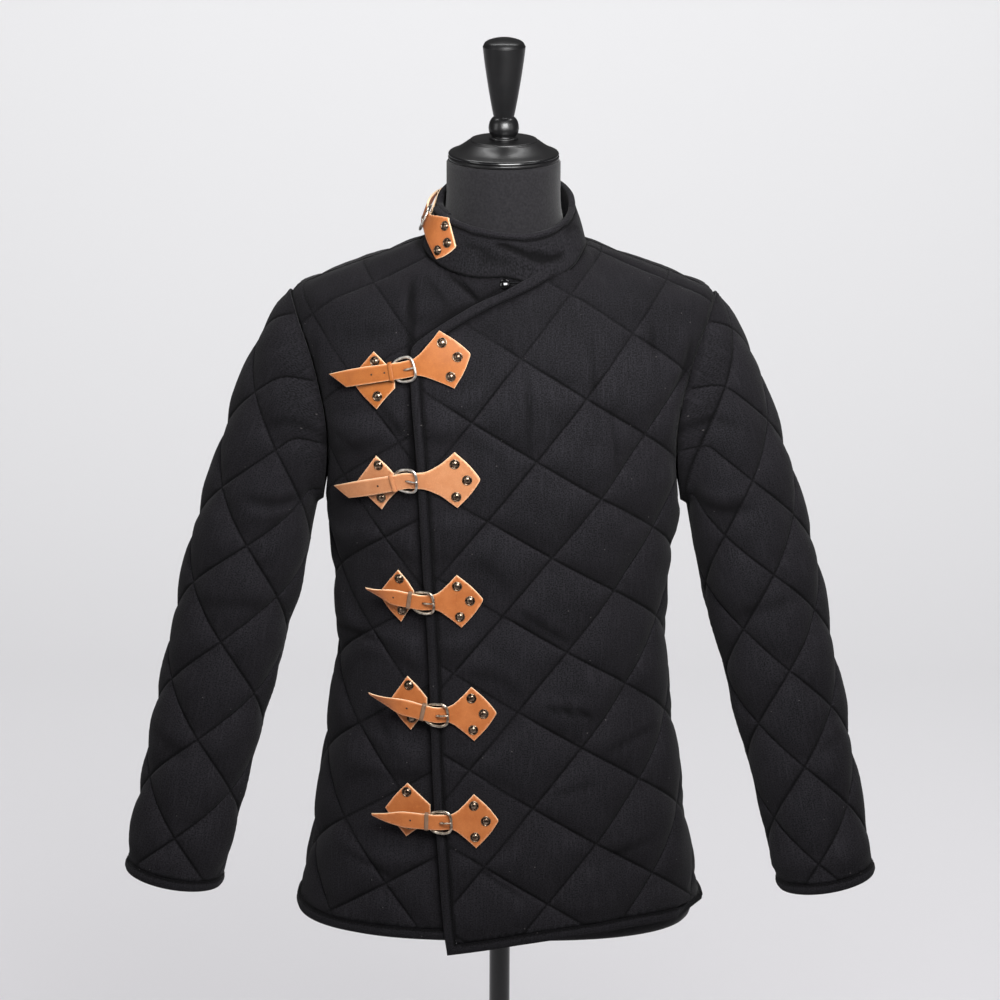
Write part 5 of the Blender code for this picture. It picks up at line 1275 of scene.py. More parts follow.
# %% Two sleeves with bound cuffs
def build_sleeve(side, seed):
    """One sleeve and its bound cuff."""
    mirrored, folds, quilt = side == "right", SLEEVE_CREASES[side], Quilt(*SLEEVE_QUILTS[side])
    low, high = -math.pi / 2, 1.5 * math.pi
    around = np.linspace(low, high, 97)
    last = len(around) - 1
    rows = np.linspace(row_at_v(low, BINDING + SEAM_GAP), SLEEVE_ROWS - 1, 110)
    left, right = (np.array([SLEEVE.flat_at(turn_place(turn), row) for row in rows]) for turn in (low, high))
    top = np.array([SLEEVE.flat_at(turn_place(turn), SLEEVE_ROWS - 1) for turn in around[::-1]])
    foot = level(around, BINDING + SEAM_GAP)
    outline = np.vstack([foot, right[1:-1], top, left[1:-1][::-1]])
    pairs = [(0, last)] + [(len(outline) - k, last + k) for k in range(1, len(rows))]

    def height(flat):
        from_top = off_line(flat, top)
        edge = np.minimum(from_top, off_line(flat, foot))
        seam = np.minimum(off_line(flat, left), off_line(flat, right))
        soft = ramp((np.minimum(edge, seam) - 0.0015) / EDGE_RAMP)
        hills = 0.0011 * ripple(flat, 0.080, seed) + 0.0007 * ripple(flat, 0.030, seed + 1)
        hills += 0.00016 * ripple(flat, 0.012, seed + 2)
        head = 1 - 0.5 * ramp((0.13 - from_top) / 0.10)
        return WALL + soft * (head * quilt.height(flat) + hills + creases(flat, folds))

    # Painted shade: darker along the sleeve head and cuff seams, in the stitch lines and creases and on the
    # lower side of each puff.
    def painted_shade(flat):
        seams = 0.45 * hump(np.minimum(off_line(flat, top), off_line(flat, foot)), 0.0022)
        slope_shade = painted_slope_shade(lambda flat: quilt.height(flat) + creases(flat, folds), flat)
        return np.clip(slope_shade + quilt.painted_shading(flat) + seams + folded(folds, flat) * 0.5, 0, 0.92)

    sleeve = quilted_wall(side + "_sleeve_cloth", "sleeve_" + side, SLEEVE, outline, quilt, height, painted_shade,
                          joined=pairs, mirrored=mirrored)
    seam = level(around, BINDING)
    strip(side + "_cuff_binding", "binding_cuff_" + side, SLEEVE, level(around, 0.0), seam,
          joined=[(0, last), (2 * last + 1, last + 1)], mirrored=mirrored)
    edge_stitches(side + "_cuff_stitches", SLEEVE, seam, mirrored=mirrored)
    return sleeve


SLEEVES = {"left": build_sleeve("left", 61), "right": build_sleeve("right", 51)}

# %% [markdown]
# ## The stand collar
# The collar is a firm band, a little wider at its foot, whose outer end laps over its inner end. Its top
# edge is turned in and stitched down, which shows as a doubled rim. Short level creases lie across its
# front, where the band is pushed down on the shoulder.

# %% The collar's sheet
COLLAR_ROWS = 9


def on_ellipse(ellipse, turn, inwards=0.0):
    """Plan position on one of the collar's ellipses, drawn in by a distance."""
    wide, deep, middle = ellipse
    return (wide - inwards) * math.sin(turn), middle - (deep - inwards) * math.cos(turn)


def on_foot(turn, inwards=0.0):
    """Plan position on the collar's foot, which bulges forward at one side."""
    x, y = on_ellipse(COLLAR_FOOT, turn, inwards)
    return x, y - skew(turn)


def collar_sheet(turns, lapped=True, past=0.0):
    """The collar's inner face at the given turns; u is measured round from the front and v up from the foot.

    Where the band's inner end runs on under its outer end it is tucked in by the band's thickness.
    past carries the face on above its top and below its foot, as a share of its height.
    """
    grid, drops = np.zeros((len(turns), COLLAR_ROWS, 3)), np.zeros(len(turns))
    rows = np.linspace(-past, 1.0 + past, COLLAR_ROWS)
    front, side, back = COLLAR_TOP_Z
    to_front, to_back = COLLAR_FALL
    for i, turn in enumerate(turns):
        cosine = math.cos(turn)
        grow = COLLAR_WALL
        if lapped:
            grow += (COLLAR_WALL + 0.0008) * ramp((turn - (COLLAR_END + 2 * math.pi) + 1.25) / 0.45)
        x0, y0 = on_foot(turn, grow)
        x1, y1 = on_ellipse(COLLAR_TOP, turn, grow)
        z0 = height_at(x0, y0)
        lift = WALL + COLLAR_SEAT
        if y0 < 0 < x0:
            lift += lap_lift(at_depth(-y0, z0, True)[None])[0] * ramp((x0 - 0.028) / 0.022)
        outer_x, outer_y = on_foot(turn)
        drops[i] = z0 - height_at(outer_x, outer_y)
        z0 += lift * math.hypot(1.0, drops[i] / math.hypot(outer_x - x0, outer_y - y0))
        z1 = side + (front - side) * max(cosine, 0) ** to_front + (back - side) * max(-cosine, 0) ** to_back
        z1 -= COLLAR_DIP * max(0.0, math.sin(turn + 0.35)) ** 1.5 * max(0.0, cosine) ** 0.5
        for j, t in enumerate(rows):
            lean = math.copysign(abs(t) ** 1.2, t)
            grid[i, j] = (x0 + (x1 - x0) * lean, y0 + (y1 - y0) * lean, z0 + (z1 - z0) * t)
    length = run_along(grid[:, 4])
    length -= np.interp(0.0, turns, length)
    v = run_up(grid)
    v -= np.array([[np.interp(0.0, rows, row)] for row in v])
    return Sheet(grid, np.repeat(length[:, None], COLLAR_ROWS, axis=1), v), length, drops


COLLAR_TURNS = np.linspace(COLLAR_END - 0.05, COLLAR_END + 2 * math.pi + 0.42, 360)
COLLAR, COLLAR_LENGTH, COLLAR_DROP = collar_sheet(COLLAR_TURNS)
COLLAR_SKIN = collar_sheet(np.linspace(-3.0, 0.6, 140), False, SKIN_PAST)[0]


def collar_flat(turn, share):
    """Flat coordinates on the collar at a turn and a share of its height."""
    column = np.interp(turn, COLLAR_TURNS, np.arange(len(COLLAR_TURNS)))
    return COLLAR.flat_at(column, share * (COLLAR_ROWS - 1))


def flare(turn):
    """How the collar's foot spreads on the shoulder and drops, more on the wearer's left front."""
    front = ramp((turn + 1.5) / 0.5) * ramp((1.75 - turn) / 0.5)
    out = float(front * (0.0028 + 0.0042 * hump(turn - 0.75, 0.42)))
    x, y = on_foot(turn)
    out_x, out_y = out * math.sin(turn), out * math.cos(turn)
    return out_x, -out_y, height_at(x + out_x, y - out_y) - height_at(x, y)


FLARE = np.array([flare(turn) for turn in COLLAR_TURNS])


def collar_outer(flat, height):
    """The collar's outer face: its foot comes down to the sloping shoulder and spreads on it."""
    points = COLLAR.place(flat, height)
    foot = np.clip(1 - flat[:, 1] / 0.020, 0, 1)
    points[:, 2] -= (np.interp(flat[:, 0], COLLAR_LENGTH, COLLAR_DROP) + 0.0030) * foot
    spread = np.clip(1 - flat[:, 1] / 0.026, 0, 1) ** 1.4
    for axis in range(3):
        points[:, axis] += np.interp(flat[:, 0], COLLAR_LENGTH, FLARE[:, axis]) * spread
    return points

# %% The collar's band
COLLAR_CREASES = [
    (-0.0160, 0.0245, 0.0540, 0.0135, 0.0025, -0.0036, -0.001),
    (-0.0060, 0.0190, 0.0460, 0.0090, 0.0034, 0.0016, -0.001),
    (0.0240, 0.0150, 0.0720, 0.0130, 0.0023, -0.0032, -0.003),
    (0.0300, 0.0180, 0.0800, 0.0160, 0.0034, 0.0010, -0.002),
    (-0.0480, 0.0245, -0.0040, 0.0125, 0.0030, -0.0013, 0.001),
    (-0.0300, 0.0120, 0.0150, 0.0080, 0.0032, -0.0010, 0.001),
    (0.0700, 0.0240, 0.1050, 0.0120, 0.0035, -0.0012, 0.002),
]


def build_collar():
    """The stand collar's band, with a stitched rim along its top."""
    first, last = COLLAR_END, COLLAR_END + 2 * math.pi + COLLAR_LAP / COLLAR_FOOT[0]
    around = np.linspace(first, last, 200)
    shares = np.r_[np.linspace(0.05, 0.64, 13), np.linspace(0.67, 0.87, 11), 0.90, 0.93, 0.96, 0.985]
    foot, top = (np.array([collar_flat(turn, share) for turn in around]) for share in (0.0, 1.0))
    ends = [[collar_flat(turn, share) for share in shares[::2]] for turn in (last, first)]
    outline = np.vstack([foot, ends[0], top[::-1], ends[1][::-1]])
    turns = 0.5 * (around[1:] + around[:-1])
    fill, plain = (keep_clear(np.array([collar_flat(turn, share) for turn in some for share in heights]),
                              outline, 0.0006)
                   for some, heights in ((turns, shares), (turns[::2], shares[::3])))

    def below_top(flat):
        """Distance below the top edge, and the same to the rim's wavering seam."""
        from_top = np.interp(flat[:, 0], top[:, 0], top[:, 1]) - flat[:, 1]
        return from_top, from_top + 0.0007 * ripple(flat, 0.011, 73)

    def height(flat):
        from_top, seam = below_top(flat)
        rim = (0.0020 * ramp((0.0068 - seam) / 0.003) * ramp(from_top / 0.003)
               - 0.0018 * hump(seam - 0.0078, 0.0013))
        rounding = -0.0016 * ramp((0.0022 - from_top) / 0.0022)
        soft = ramp((from_top - 0.008) / 0.006) * ramp(flat[:, 1] / 0.006)
        beside_plate = ramp((np.linalg.norm(flat - np.array([-0.070, 0.020]), axis=1) - 0.028) / 0.014)
        hills = 0.0007 * ripple(flat, 0.045, 71) + 0.0003 * ripple(flat, 0.015, 72)
        return COLLAR_WALL + rim + rounding + soft * beside_plate * (hills + creases(flat, COLLAR_CREASES))

    # Painted shade: a little darker below the rim, darker in the rim's stitched groove, in the creases and
    # along the foot.
    def painted_shade(flat):
        _, seam = below_top(flat)
        shares = (0.20 * ramp((seam - 0.0050) / 0.003) + 0.9 * hump(seam - 0.0078, 0.0015)
                  + 0.66 * folded(COLLAR_CREASES, flat, 0.0018) + 0.5 * hump(flat[:, 1], 0.0018))
        return np.clip(shares, 0, 0.95)

    band = wall("collar_band", outline, fill, plain, lambda flat: collar_outer(flat, height(flat)),
                lambda flat: COLLAR.place(flat, no_lift(flat)), COLLAR_CLOTH, "quilted_cloth", "collar",
                painted_shading=painted_shade)
    row = even(top[2:-2] - np.array([0.0, 0.0082]), 0.0040, False)
    STITCHES["collar_stitches"] = (COLLAR, row, unit(np.gradient(row, axis=0)), height(row), False)
    return band, outline


COLLAR_BAND = build_collar()

# %% [markdown]
# ## Stitches
# Thousands of short stitches follow the lines. Geometry Nodes set one small grain of thread on each noted
# point and turn it along its line. The tree has named inputs for the stitch's length and thickness. The
# result is realized and kept as a plain mesh, because an export has no instances.

# %% A tree that sets grains on points
def add(tree, kind, settings=None, **inputs):
    """A new node; an input is a value or another node's output socket."""
    made = tree.nodes.new(kind)
    for name, value in (settings or {}).items():
        setattr(made, name, value)
    for name, value in inputs.items():
        socket = made.inputs[name.replace("_", " ")]
        for one in value if isinstance(value, list) else [value]:
            if isinstance(one, bpy.types.NodeSocket):
                tree.links.new(one, socket)
            else:
                socket.default_value = one
    return made.outputs[0]


def set_tree(name, sizes, material, build_shape):
    """A Geometry Nodes tree that sets a shape on every point, turned by the point's along and outward."""
    tree = bpy.data.node_groups.new(name, "GeometryNodeTree")
    tree.interface.new_socket("Geometry", in_out="INPUT", socket_type="NodeSocketGeometry")
    for size, value in sizes.items():
        tree.interface.new_socket(size, in_out="INPUT", socket_type="NodeSocketFloat").default_value = value
    tree.interface.new_socket("Geometry", in_out="OUTPUT", socket_type="NodeSocketGeometry")
    start = tree.nodes.new("NodeGroupInput")
    turn = {}
    for attribute, axis, pivot in (("along", "X", "AUTO"), ("outward", "Z", "X")):
        way = add(tree, "GeometryNodeInputNamedAttribute", {"data_type": "FLOAT_VECTOR"}, Name=attribute)
        turn = {"Rotation": add(tree, "FunctionNodeAlignRotationToVector",
                                {"axis": axis, "pivot_axis": pivot}, Vector=way, **turn)}
    shapes = add(tree, "GeometryNodeInstanceOnPoints", Points=start.outputs["Geometry"],
                 Instance=build_shape(tree, start), **turn)
    real = add(tree, "GeometryNodeRealizeInstances", Geometry=shapes)
    painted = add(tree, "GeometryNodeSetMaterial", Geometry=real, Material=material)
    tree.links.new(painted, tree.nodes.new("NodeGroupOutput").inputs[0])
    return tree


def grain_of_thread(tree, start):
    """An egg-shaped grain: a coarse ball drawn out along X."""
    thick = start.outputs["Thickness"]
    return add(tree, "GeometryNodeTransform",
               Geometry=add(tree, "GeometryNodeMeshIcoSphere", Radius=0.5, Subdivisions=1),
               Scale=add(tree, "ShaderNodeCombineXYZ", X=start.outputs["Length"], Y=thick, Z=thick))

# %% Turn noted points into a plain mesh
def set_on_points(name, tree, size, points, along_ways, outwards, slot):
    """Runs a tree on points, at the given sizes, and keeps the result as a plain mesh."""
    mesh = bpy.data.meshes.new(name + "_points")
    mesh.from_pydata(np.asarray(points).tolist(), [], [])
    for attribute, data in (("along", along_ways), ("outward", outwards)):
        layer = mesh.attributes.new(attribute, "FLOAT_VECTOR", "POINT")
        layer.data.foreach_set("vector", np.asarray(data, float).ravel())
    carrier = in_scene(name + "_points", mesh)
    modifier = carrier.modifiers.new("set", "NODES")
    modifier.node_group = tree
    for item in tree.interface.items_tree:
        if item.item_type == "SOCKET" and item.in_out == "INPUT" and item.name in size:
            modifier[item.identifier] = size[item.name]
    result = bpy.data.meshes.new_from_object(carrier.evaluated_get(bpy.context.evaluated_depsgraph_get()))
    bpy.data.objects.remove(carrier, do_unlink=True)
    result.name = name
    for attribute in ("along", "outward"):
        if attribute in result.attributes:
            result.attributes.remove(result.attributes[attribute])
    result.shade_smooth()
    settle(in_scene(name, result), slot)


def directions(place, flat, ways, heights, step=0.001):
    """Places, directions and outward normals of flat points, by a short step each way."""
    flat, heights = np.asarray(flat, float), np.asarray(heights, float)
    points = place(flat, heights)
    return (points, unit(place(flat + np.asarray(ways) * step, heights) - points),
            unit(place(flat, heights + step) - points))

# %% Sew every row
THREAD_SIZE = {"Length": 0.0033, "Thickness": 0.0008}
THREAD_TREE = set_tree("stitches", THREAD_SIZE, THREAD, grain_of_thread)
for name, (sheet, flat, ways, heights, mirrored) in STITCHES.items():
    rows = directions(sheet.place, flat, ways, heights + 0.00012)
    if mirrored:
        rows = [row * np.array([-1.0, 1.0, 1.0]) for row in rows]
    set_on_points(name.replace("_cloth", "_stitches"), THREAD_TREE, THREAD_SIZE, *rows, "quilted_cloth")
print("stitches", sum(len(row[1]) for row in STITCHES.values()))

# %% [markdown]
# ## Leather fastenings
# Each fastening has a strap that ends in a fan-shaped plate with three rivets, and a buckle with a prong on
# a diamond-shaped plate. Those on the front also have a keeper. The leather is cut from one thickness, so a
# piece is its outline swept through five rings that round its edges. The strap runs under the buckle's
# right rim and over its left bar.

# %% Heights of the leather over the cloth
OVER = OVERLAP_LIFT + WALL + 0.0026        # underside of the leather over the overlap's bound edge
UNDER = WALL + PUFF * PRESS_LEFT + 0.0006  # and on the under front
WIRE_GAP = 0.0008                          # between leather and the buckle's wire, which is straighter
BAR = UNDER + LEATHER + WIRE_GAP + FRAME_WIRE
CROSS = BAR + FRAME_WIRE + WIRE_GAP        # underside of the strap where it passes over the bar
COLLAR_OVER = UNDER + COLLAR_WALL + 0.0003 # underside of the strap on the collar's outer end


def strap_height(a, over, rise, drop):
    """Height of the strap's underside along its length."""
    cross = CROSS + rise
    rows = [(-0.100, cross - 0.0010), (-0.050, cross - 0.0006), (-0.016, cross),
            (-FRAME_HALF_WIDE - 0.001, cross), (-0.006, cross - 0.0002), (FRAME_HALF_WIDE - 0.003, over),
            (2 * FRAME_HALF_WIDE, over), (3 * FRAME_HALF_WIDE, over - drop), (0.10, over - drop)]
    return np.interp(a, *zip(*rows))


def bent(local, centre, tilt, tail_tilt):
    """Flat coordinates of strap points: plate and free end each keep their own tilt."""
    rows = []
    for a, t in local:
        way = along(tail_tilt + (tilt - tail_tilt) * float(ramp((a + 0.010) / 0.020)))
        rows.append(centre + a * way + t * left_of(way))
    return np.array(rows)


def frame_path(count):
    """The buckle's outline: straight on the bar's side, rounded on the other."""
    turn = np.arange(count) * 2 * math.pi / count + math.pi / count
    c, s = np.cos(turn), np.sin(turn)
    return np.stack([FRAME_HALF_WIDE * np.copysign(np.abs(c) ** np.where(c < 0, 0.42, 0.62), c),
                     FRAME_HALF_TALL * np.copysign(np.abs(s) ** 0.62, s)], axis=1)

# %% A cut leather piece
RINGS = [(0.00040, 0.00), (0.00010, 0.16), (0.0, 0.5), (0.00010, 0.84), (0.00040, 1.0)]
LEATHER_STEP = 0.0022


def inset(outline, distance):
    """A closed outline drawn in by a distance."""
    before, after = unit(outline - np.roll(outline, 1, axis=0)), unit(np.roll(outline, -1, axis=0) - outline)
    way = before + after
    way /= np.maximum(np.linalg.norm(way, axis=1, keepdims=True), 1e-9)
    return outline + distance * left_of(way)


def leather_piece(name, outline, place, materials, node):
    """A closed leather piece: its outline in rounded rings, with a face above and one below."""
    count, shift = len(outline), len(RINGS) * len(outline)
    rings = [inset(outline, distance) for distance, _ in RINGS]
    inner = keep_clear(grid_points(outline, LEATHER_STEP), rings[0], LEATHER_STEP * 0.45)
    vertices = [place(flat, share * LEATHER) for flat, (_, share) in zip(rings, RINGS)]
    faces = ring_faces(len(RINGS), count)
    kinds = [1] * len(faces)
    filled = np.array(triangles_in(rings[-1], inner))
    for top in (True, False):
        start, base = (shift - count, shift) if top else (0, shift + len(inner))
        rename = np.r_[start + np.arange(count), base + np.arange(len(inner))]
        faces += [tuple(face) for face in (rename[filled] if top else rename[filled[:, ::-1]])]
        vertices.append(place(inner, np.full(len(inner), LEATHER if top else 0.0)))
    kinds += [0] * (len(faces) - len(kinds))
    # Painted highlight: the rim's rings carry the mark, so the top face pales towards its edge.
    painted_rim_highlight = np.r_[np.ones(shift), np.zeros(2 * len(inner))]
    new_piece(name, np.vstack(vertices), faces, materials, "leather", [node], kinds=kinds, painted_shading=painted_rim_highlight)

# %% The strap's outline
def curves(*lines, step=0.0012):
    """A closed outline of smooth curves, each from the last one's end; a straight line closes it."""
    return np.vstack([even(line, step)[:-1] for line in lines])


def flipped(points):
    """The same points below the middle line, in the opposite order."""
    return [(a, -t) for a, t in points[::-1]]


def strap_outline(neck, tail, share, leaf, waist):
    """The strap about its buckle: fan plate to the right, free end to the left, slanted or leaf-shaped."""
    half, point = PLATE_HALF * share, PLATE_POINT * share
    throat, corner = FRAME_HALF_WIDE + 0.003, FRAME_HALF_WIDE + neck
    run, spread = corner - throat, half - STRAP_HALF
    upper = [(-tail * 0.5, STRAP_HALF), (-FRAME_HALF_WIDE, STRAP_HALF * 0.95),
             (FRAME_HALF_WIDE, STRAP_HALF * 0.95),
             (throat + run * 0.10, STRAP_HALF + spread * (0.07 - 0.07 * waist)),
             (throat + run * 0.50, STRAP_HALF + spread * (0.44 - 0.14 * waist)), (corner, half)]
    above, below = [(-tail, STRAP_HALF * 0.85)], [(-tail + 0.018, -STRAP_HALF * 0.98)]
    if leaf:
        above = [(-tail, STRAP_HALF * leaf + 0.0013),
                 (-tail * 0.80, STRAP_HALF * (0.45 + 0.52 * max(leaf, 0.25)))]
        below = [(-tail * 0.58, -STRAP_HALF * 0.92), (-tail * 0.80, -STRAP_HALF * (0.62 - 0.5 * leaf)),
                 (-tail + 0.0004, STRAP_HALF * leaf - 0.0013)]
    fan = [(corner, half), (corner + point * 0.52, half * 0.56), (corner + point * 0.88, half * 0.16)]
    fan += [(corner + point * 0.98, 0.0)] + flipped(fan)
    top, right, bottom = (even(line, 0.0012)[::-1] for line in (above + upper, fan, flipped(upper) + below))
    end = even([top[-1], bottom[0]], 0.0013)
    return np.vstack([bottom[:-1], right[:-1], top[:-1], end[:-1]])

# %% Wires and rivets
def wire_piece(name, path, outwards, wide, thick, sides, material, nodes, closed=True):
    """A bent wire with an oval section, along a path. Flat ends close an open one."""
    count = len(path)
    way = unit(np.roll(path, -1, axis=0) - np.roll(path, 1, axis=0) if closed else np.gradient(path, axis=0))
    side = unit(np.cross(way, outwards))
    up = np.cross(side, way)
    wide, thick = np.broadcast_to(wide, count), np.broadcast_to(thick, count)
    vertices = [path[k] + wide[k] * math.cos(turn) * side[k] + thick[k] * math.sin(turn) * up[k]
                for k in range(count) for turn in np.arange(sides) * 2 * math.pi / sides]
    faces = ring_faces(count, sides, closed)
    if not closed:
        faces += [tuple(reversed(range(sides))), tuple(range((count - 1) * sides, count * sides))]
    thing = new_piece(name, vertices, faces, [material], "buckle_metal", nodes)
    mesh = bmesh.new()
    mesh.from_mesh(thing.data)
    bmesh.ops.recalc_face_normals(mesh, faces=mesh.faces)
    mesh.to_mesh(thing.data)
    mesh.free()


RIVETS, HOLES = ([], [], []), ([], [], [])


def note(store, rows):
    """Notes places, directions and normals for later."""
    for kept, new in zip(store, rows):
        kept.extend(new)

# %% One keeper
def build_keeper(name, finish, placed, under_strap):
    """A narrow leather loop round the strap, just past the buckle's bar."""
    middle, half_wide = -FRAME_HALF_WIDE - 0.0022, 0.0021
    across = np.linspace(-1.0, 1.0, 21)
    sag = 0.0034 * np.clip((np.abs(across) - 0.86) / 0.14, 0, 1) ** 2
    outer, inner = [], []
    for a in np.linspace(-half_wide, half_wide, 7):
        local = np.stack([np.full(len(across), middle + a), across * (STRAP_HALF + 0.0012)], axis=1)
        top = under_strap(local) + LEATHER + 0.0011 + 0.0003 * math.cos(a / half_wide * math.pi / 2) - sag
        outer.append(placed(local, top))
        inner.append(placed(local, top - 0.0009))
    wide, long = len(outer), len(across)
    shift = wide * long
    faces = []
    for i in range(wide - 1):
        for a in range(i * long, (i + 1) * long - 1):
            b = a + long
            faces += [(a, b, b + 1, a + 1), (a + 1 + shift, b + 1 + shift, b + shift, a + shift)]
    rim = []
    for a in range(0, shift - long, long):
        rim += [(a + long, a), (a + long - 1, a + 2 * long - 1)]
    for a in range(long - 1):
        rim += [(a, a + 1), (a + 1 + shift - long, a + shift - long)]
    faces += [(a, b, b + shift, a + shift) for a, b in rim]
    new_piece("strap_keeper_" + name, np.vstack(outer + inner), faces, [finish], "leather")

# %% One fastening
def build_fastening(name, row, outer, metal, leaf=0.0, leathers=(TAN, CUT_EDGE), share=1.0, over=OVER,
                    curl=0.0, holes=(-0.031,), waist=0.0, keeper=None):
    """One strap, buckle, prong, keeper and buckle plate."""
    u, v, tilt, neck, tail_tilt, tail, plate_u, plate_v, rise, drop, reach, lean = row
    centre, ahead = np.array([u, v]), np.array([1.0, 0.0])
    rim = over + LEATHER + WIRE_GAP + FRAME_WIRE
    corner = FRAME_HALF_WIDE + neck

    def under_strap(local):
        lifted = curl * ramp((-local[:, 0] - 0.022) / (tail - 0.022)) ** 1.5
        low = strap_height(local[:, 0], over, rise, drop)
        return low + lifted + 0.95 * lifted * local[:, 1] / STRAP_HALF

    def placed(local, height):
        return outer(bent(local, centre, tilt, tail_tilt), height)

    def set_at(local, height):
        """Places, directions and normals on the strap's side of the fastening."""
        return directions(placed, local, ahead, height, 0.0005)

    leather_piece("strap_leather_" + name, strap_outline(neck, tail, share, leaf, waist),
                  lambda f, h: placed(f, under_strap(f) + h), leathers, "strap_" + name)
    line = frame_path(72)
    past_bar = ramp((line[:, 0] + FRAME_HALF_WIDE) / FRAME_HALF_WIDE)
    line[:, 1] *= 0.80 + 0.20 * past_bar
    line[:, 0] += 0.0012 * past_bar
    slope = (line[:, 0] + FRAME_HALF_WIDE) / (2 * FRAME_HALF_WIDE)
    path, _, out = set_at(line, BAR + rise + (rim - BAR - rise) * slope)
    ring_node, prong_node = ["buckle_" + name], ["prong_" + name]
    wire_piece("buckle_ring_" + name, path, out, FRAME_WIRE * 1.05, FRAME_WIRE, 12, metal, ring_node)
    above = CROSS + rise + LEATHER
    a = np.linspace(0.0005, FRAME_HALF_WIDE + 0.0024, 9)
    lift = np.interp(a, [0.0, 0.004, FRAME_HALF_WIDE, FRAME_HALF_WIDE + 0.0025],
                     [above - 0.0010, above + 0.0012, rim + FRAME_WIRE + 0.0011, rim + FRAME_WIRE + 0.0006])
    path, _, out = set_at(np.outer(a, ahead), lift)
    thin = np.interp(a, [0.0, 0.004, FRAME_HALF_WIDE + 0.0024], [0.0011, 0.0012, 0.0007])
    wire_piece("buckle_prong_" + name, path, out, thin, thin * 0.9, 10, metal, prong_node, closed=False)
    half, reach = 0.0305 * share, reach * share
    tab, tab_end = STRAP_HALF * 0.8 * share ** 0.5, -plate_u - FRAME_HALF_WIDE + 0.0005
    plate = curves([(lean, half), (-reach * 0.55, half * 0.50), (-reach, 0.0)],
                   [(-reach, 0.0), (-reach * 0.55, -half * 0.50), (-lean, -half)],
                   [(-lean, -half), (tab_end * 0.5, -half * 0.5 - tab * 0.55), (tab_end, -tab)],
                   [(tab_end, -tab), (tab_end, tab)],
                   [(tab_end, tab), (tab_end * 0.5, half * 0.5 + tab * 0.55), (lean, half)])
    shift = np.array([plate_u, plate_v])
    leather_piece("buckle_leather_" + name, plate, lambda f, h: outer(centre + shift + f, UNDER + h),
                  leathers, "buckle_plate_" + name)
    fan = np.array([(corner - 0.0005 * share, 0.0180 * share), (corner + 0.0117 * share, 0.0),
                    (corner - 0.0005 * share, -0.0180 * share)])
    note(RIVETS, set_at(fan, under_strap(fan) + LEATHER))
    low = centre + shift + np.array([(0.0, 0.0205 * share), (0.0030 * share, -0.0165 * share)])
    note(RIVETS, directions(outer, low, ahead, np.full(2, UNDER + LEATHER), 0.0005))
    spots = np.outer([*holes, 0.0030], ahead)
    note(HOLES, set_at(spots, under_strap(spots) + LEATHER))
    if keeper:
        build_keeper(name, keeper, placed, under_strap)


DEEP = (DEEP_TAN, CUT_EDGE)
FASTENINGS = [
    dict(metal=SILVER, holes=(-0.0205, -0.035), leathers=(RUSSET, CUT_EDGE), keeper=RUSSET),
    dict(metal=SILVER, waist=1.0, keeper=TAN),
    dict(metal=ANTIQUE, leaf=0.80, curl=0.006, leathers=DEEP, keeper=BROWN),
    dict(metal=ANTIQUE, leaf=0.85, curl=0.008, leathers=DEEP, keeper=BROWN),
    dict(metal=ANTIQUE, leaf=0.15, curl=0.003, leathers=DEEP, keeper=BROWN),
]
for number, (row, looks) in enumerate(zip(STRAPS, FASTENINGS), 1):
    build_fastening(str(number), row, FRONT.place, **looks)


def on_collar(flat, height):
    """A place over the collar: a height of UNDER is on its inner end, COLLAR_OVER on its outer end."""
    return COLLAR_SKIN.place(flat, np.asarray(height) - COLLAR_OVER + COLLAR_WALL + 0.0010)


build_fastening("collar", COLLAR_STRAP, on_collar, SILVER, leathers=DEEP, share=COLLAR_PLATE_SHARE,
                over=COLLAR_OVER)
print("rivets", len(RIVETS[0]), "holes", len(HOLES[0]))

# %% Rivets and punched holes by Geometry Nodes
def rivet_shape(tree, start):
    """A low dome on a flat collar with a rolled rim."""
    radius = start.outputs["Radius"]
    collar = add(tree, "GeometryNodeMeshCylinder", Vertices=24, Depth=0.0009, Radius=radius)
    dome = add(tree, "GeometryNodeMeshUVSphere", Segments=20, Rings=10, Radius=0.0040)
    dome = add(tree, "GeometryNodeTransform", Geometry=dome, Scale=(1.0, 1.0, 0.62))
    line = add(tree, "GeometryNodeCurvePrimitiveCircle", Resolution=24, Radius=radius)
    wire = add(tree, "GeometryNodeCurvePrimitiveCircle", Resolution=8, Radius=0.0006)
    rim = add(tree, "GeometryNodeCurveToMesh", Curve=line, Profile_Curve=wire)
    rim = add(tree, "GeometryNodeTransform", Geometry=rim, Translation=(0.0, 0.0, 0.0003))
    return add(tree, "GeometryNodeJoinGeometry", Geometry=[collar, dome, rim])


def hole_shape(tree, start):
    """A thin dark disc that stands a hair above the leather."""
    return add(tree, "GeometryNodeMeshCylinder", Vertices=16, Depth=0.0002, Radius=start.outputs["Radius"])


for name, radius, material, shape, rows, slot in (
        ("rivets", 0.0050, RIVET, rivet_shape, RIVETS, "buckle_metal"),
        ("punched_holes", 0.0011, HOLE, hole_shape, HOLES, "leather")):
    size = {"Radius": radius}
    set_on_points(name, set_tree(name, size, material, shape), size, *rows, slot)

# %% [markdown]
# ## Button
# A small glossy button with a thread loop closes the neck just below the collar.

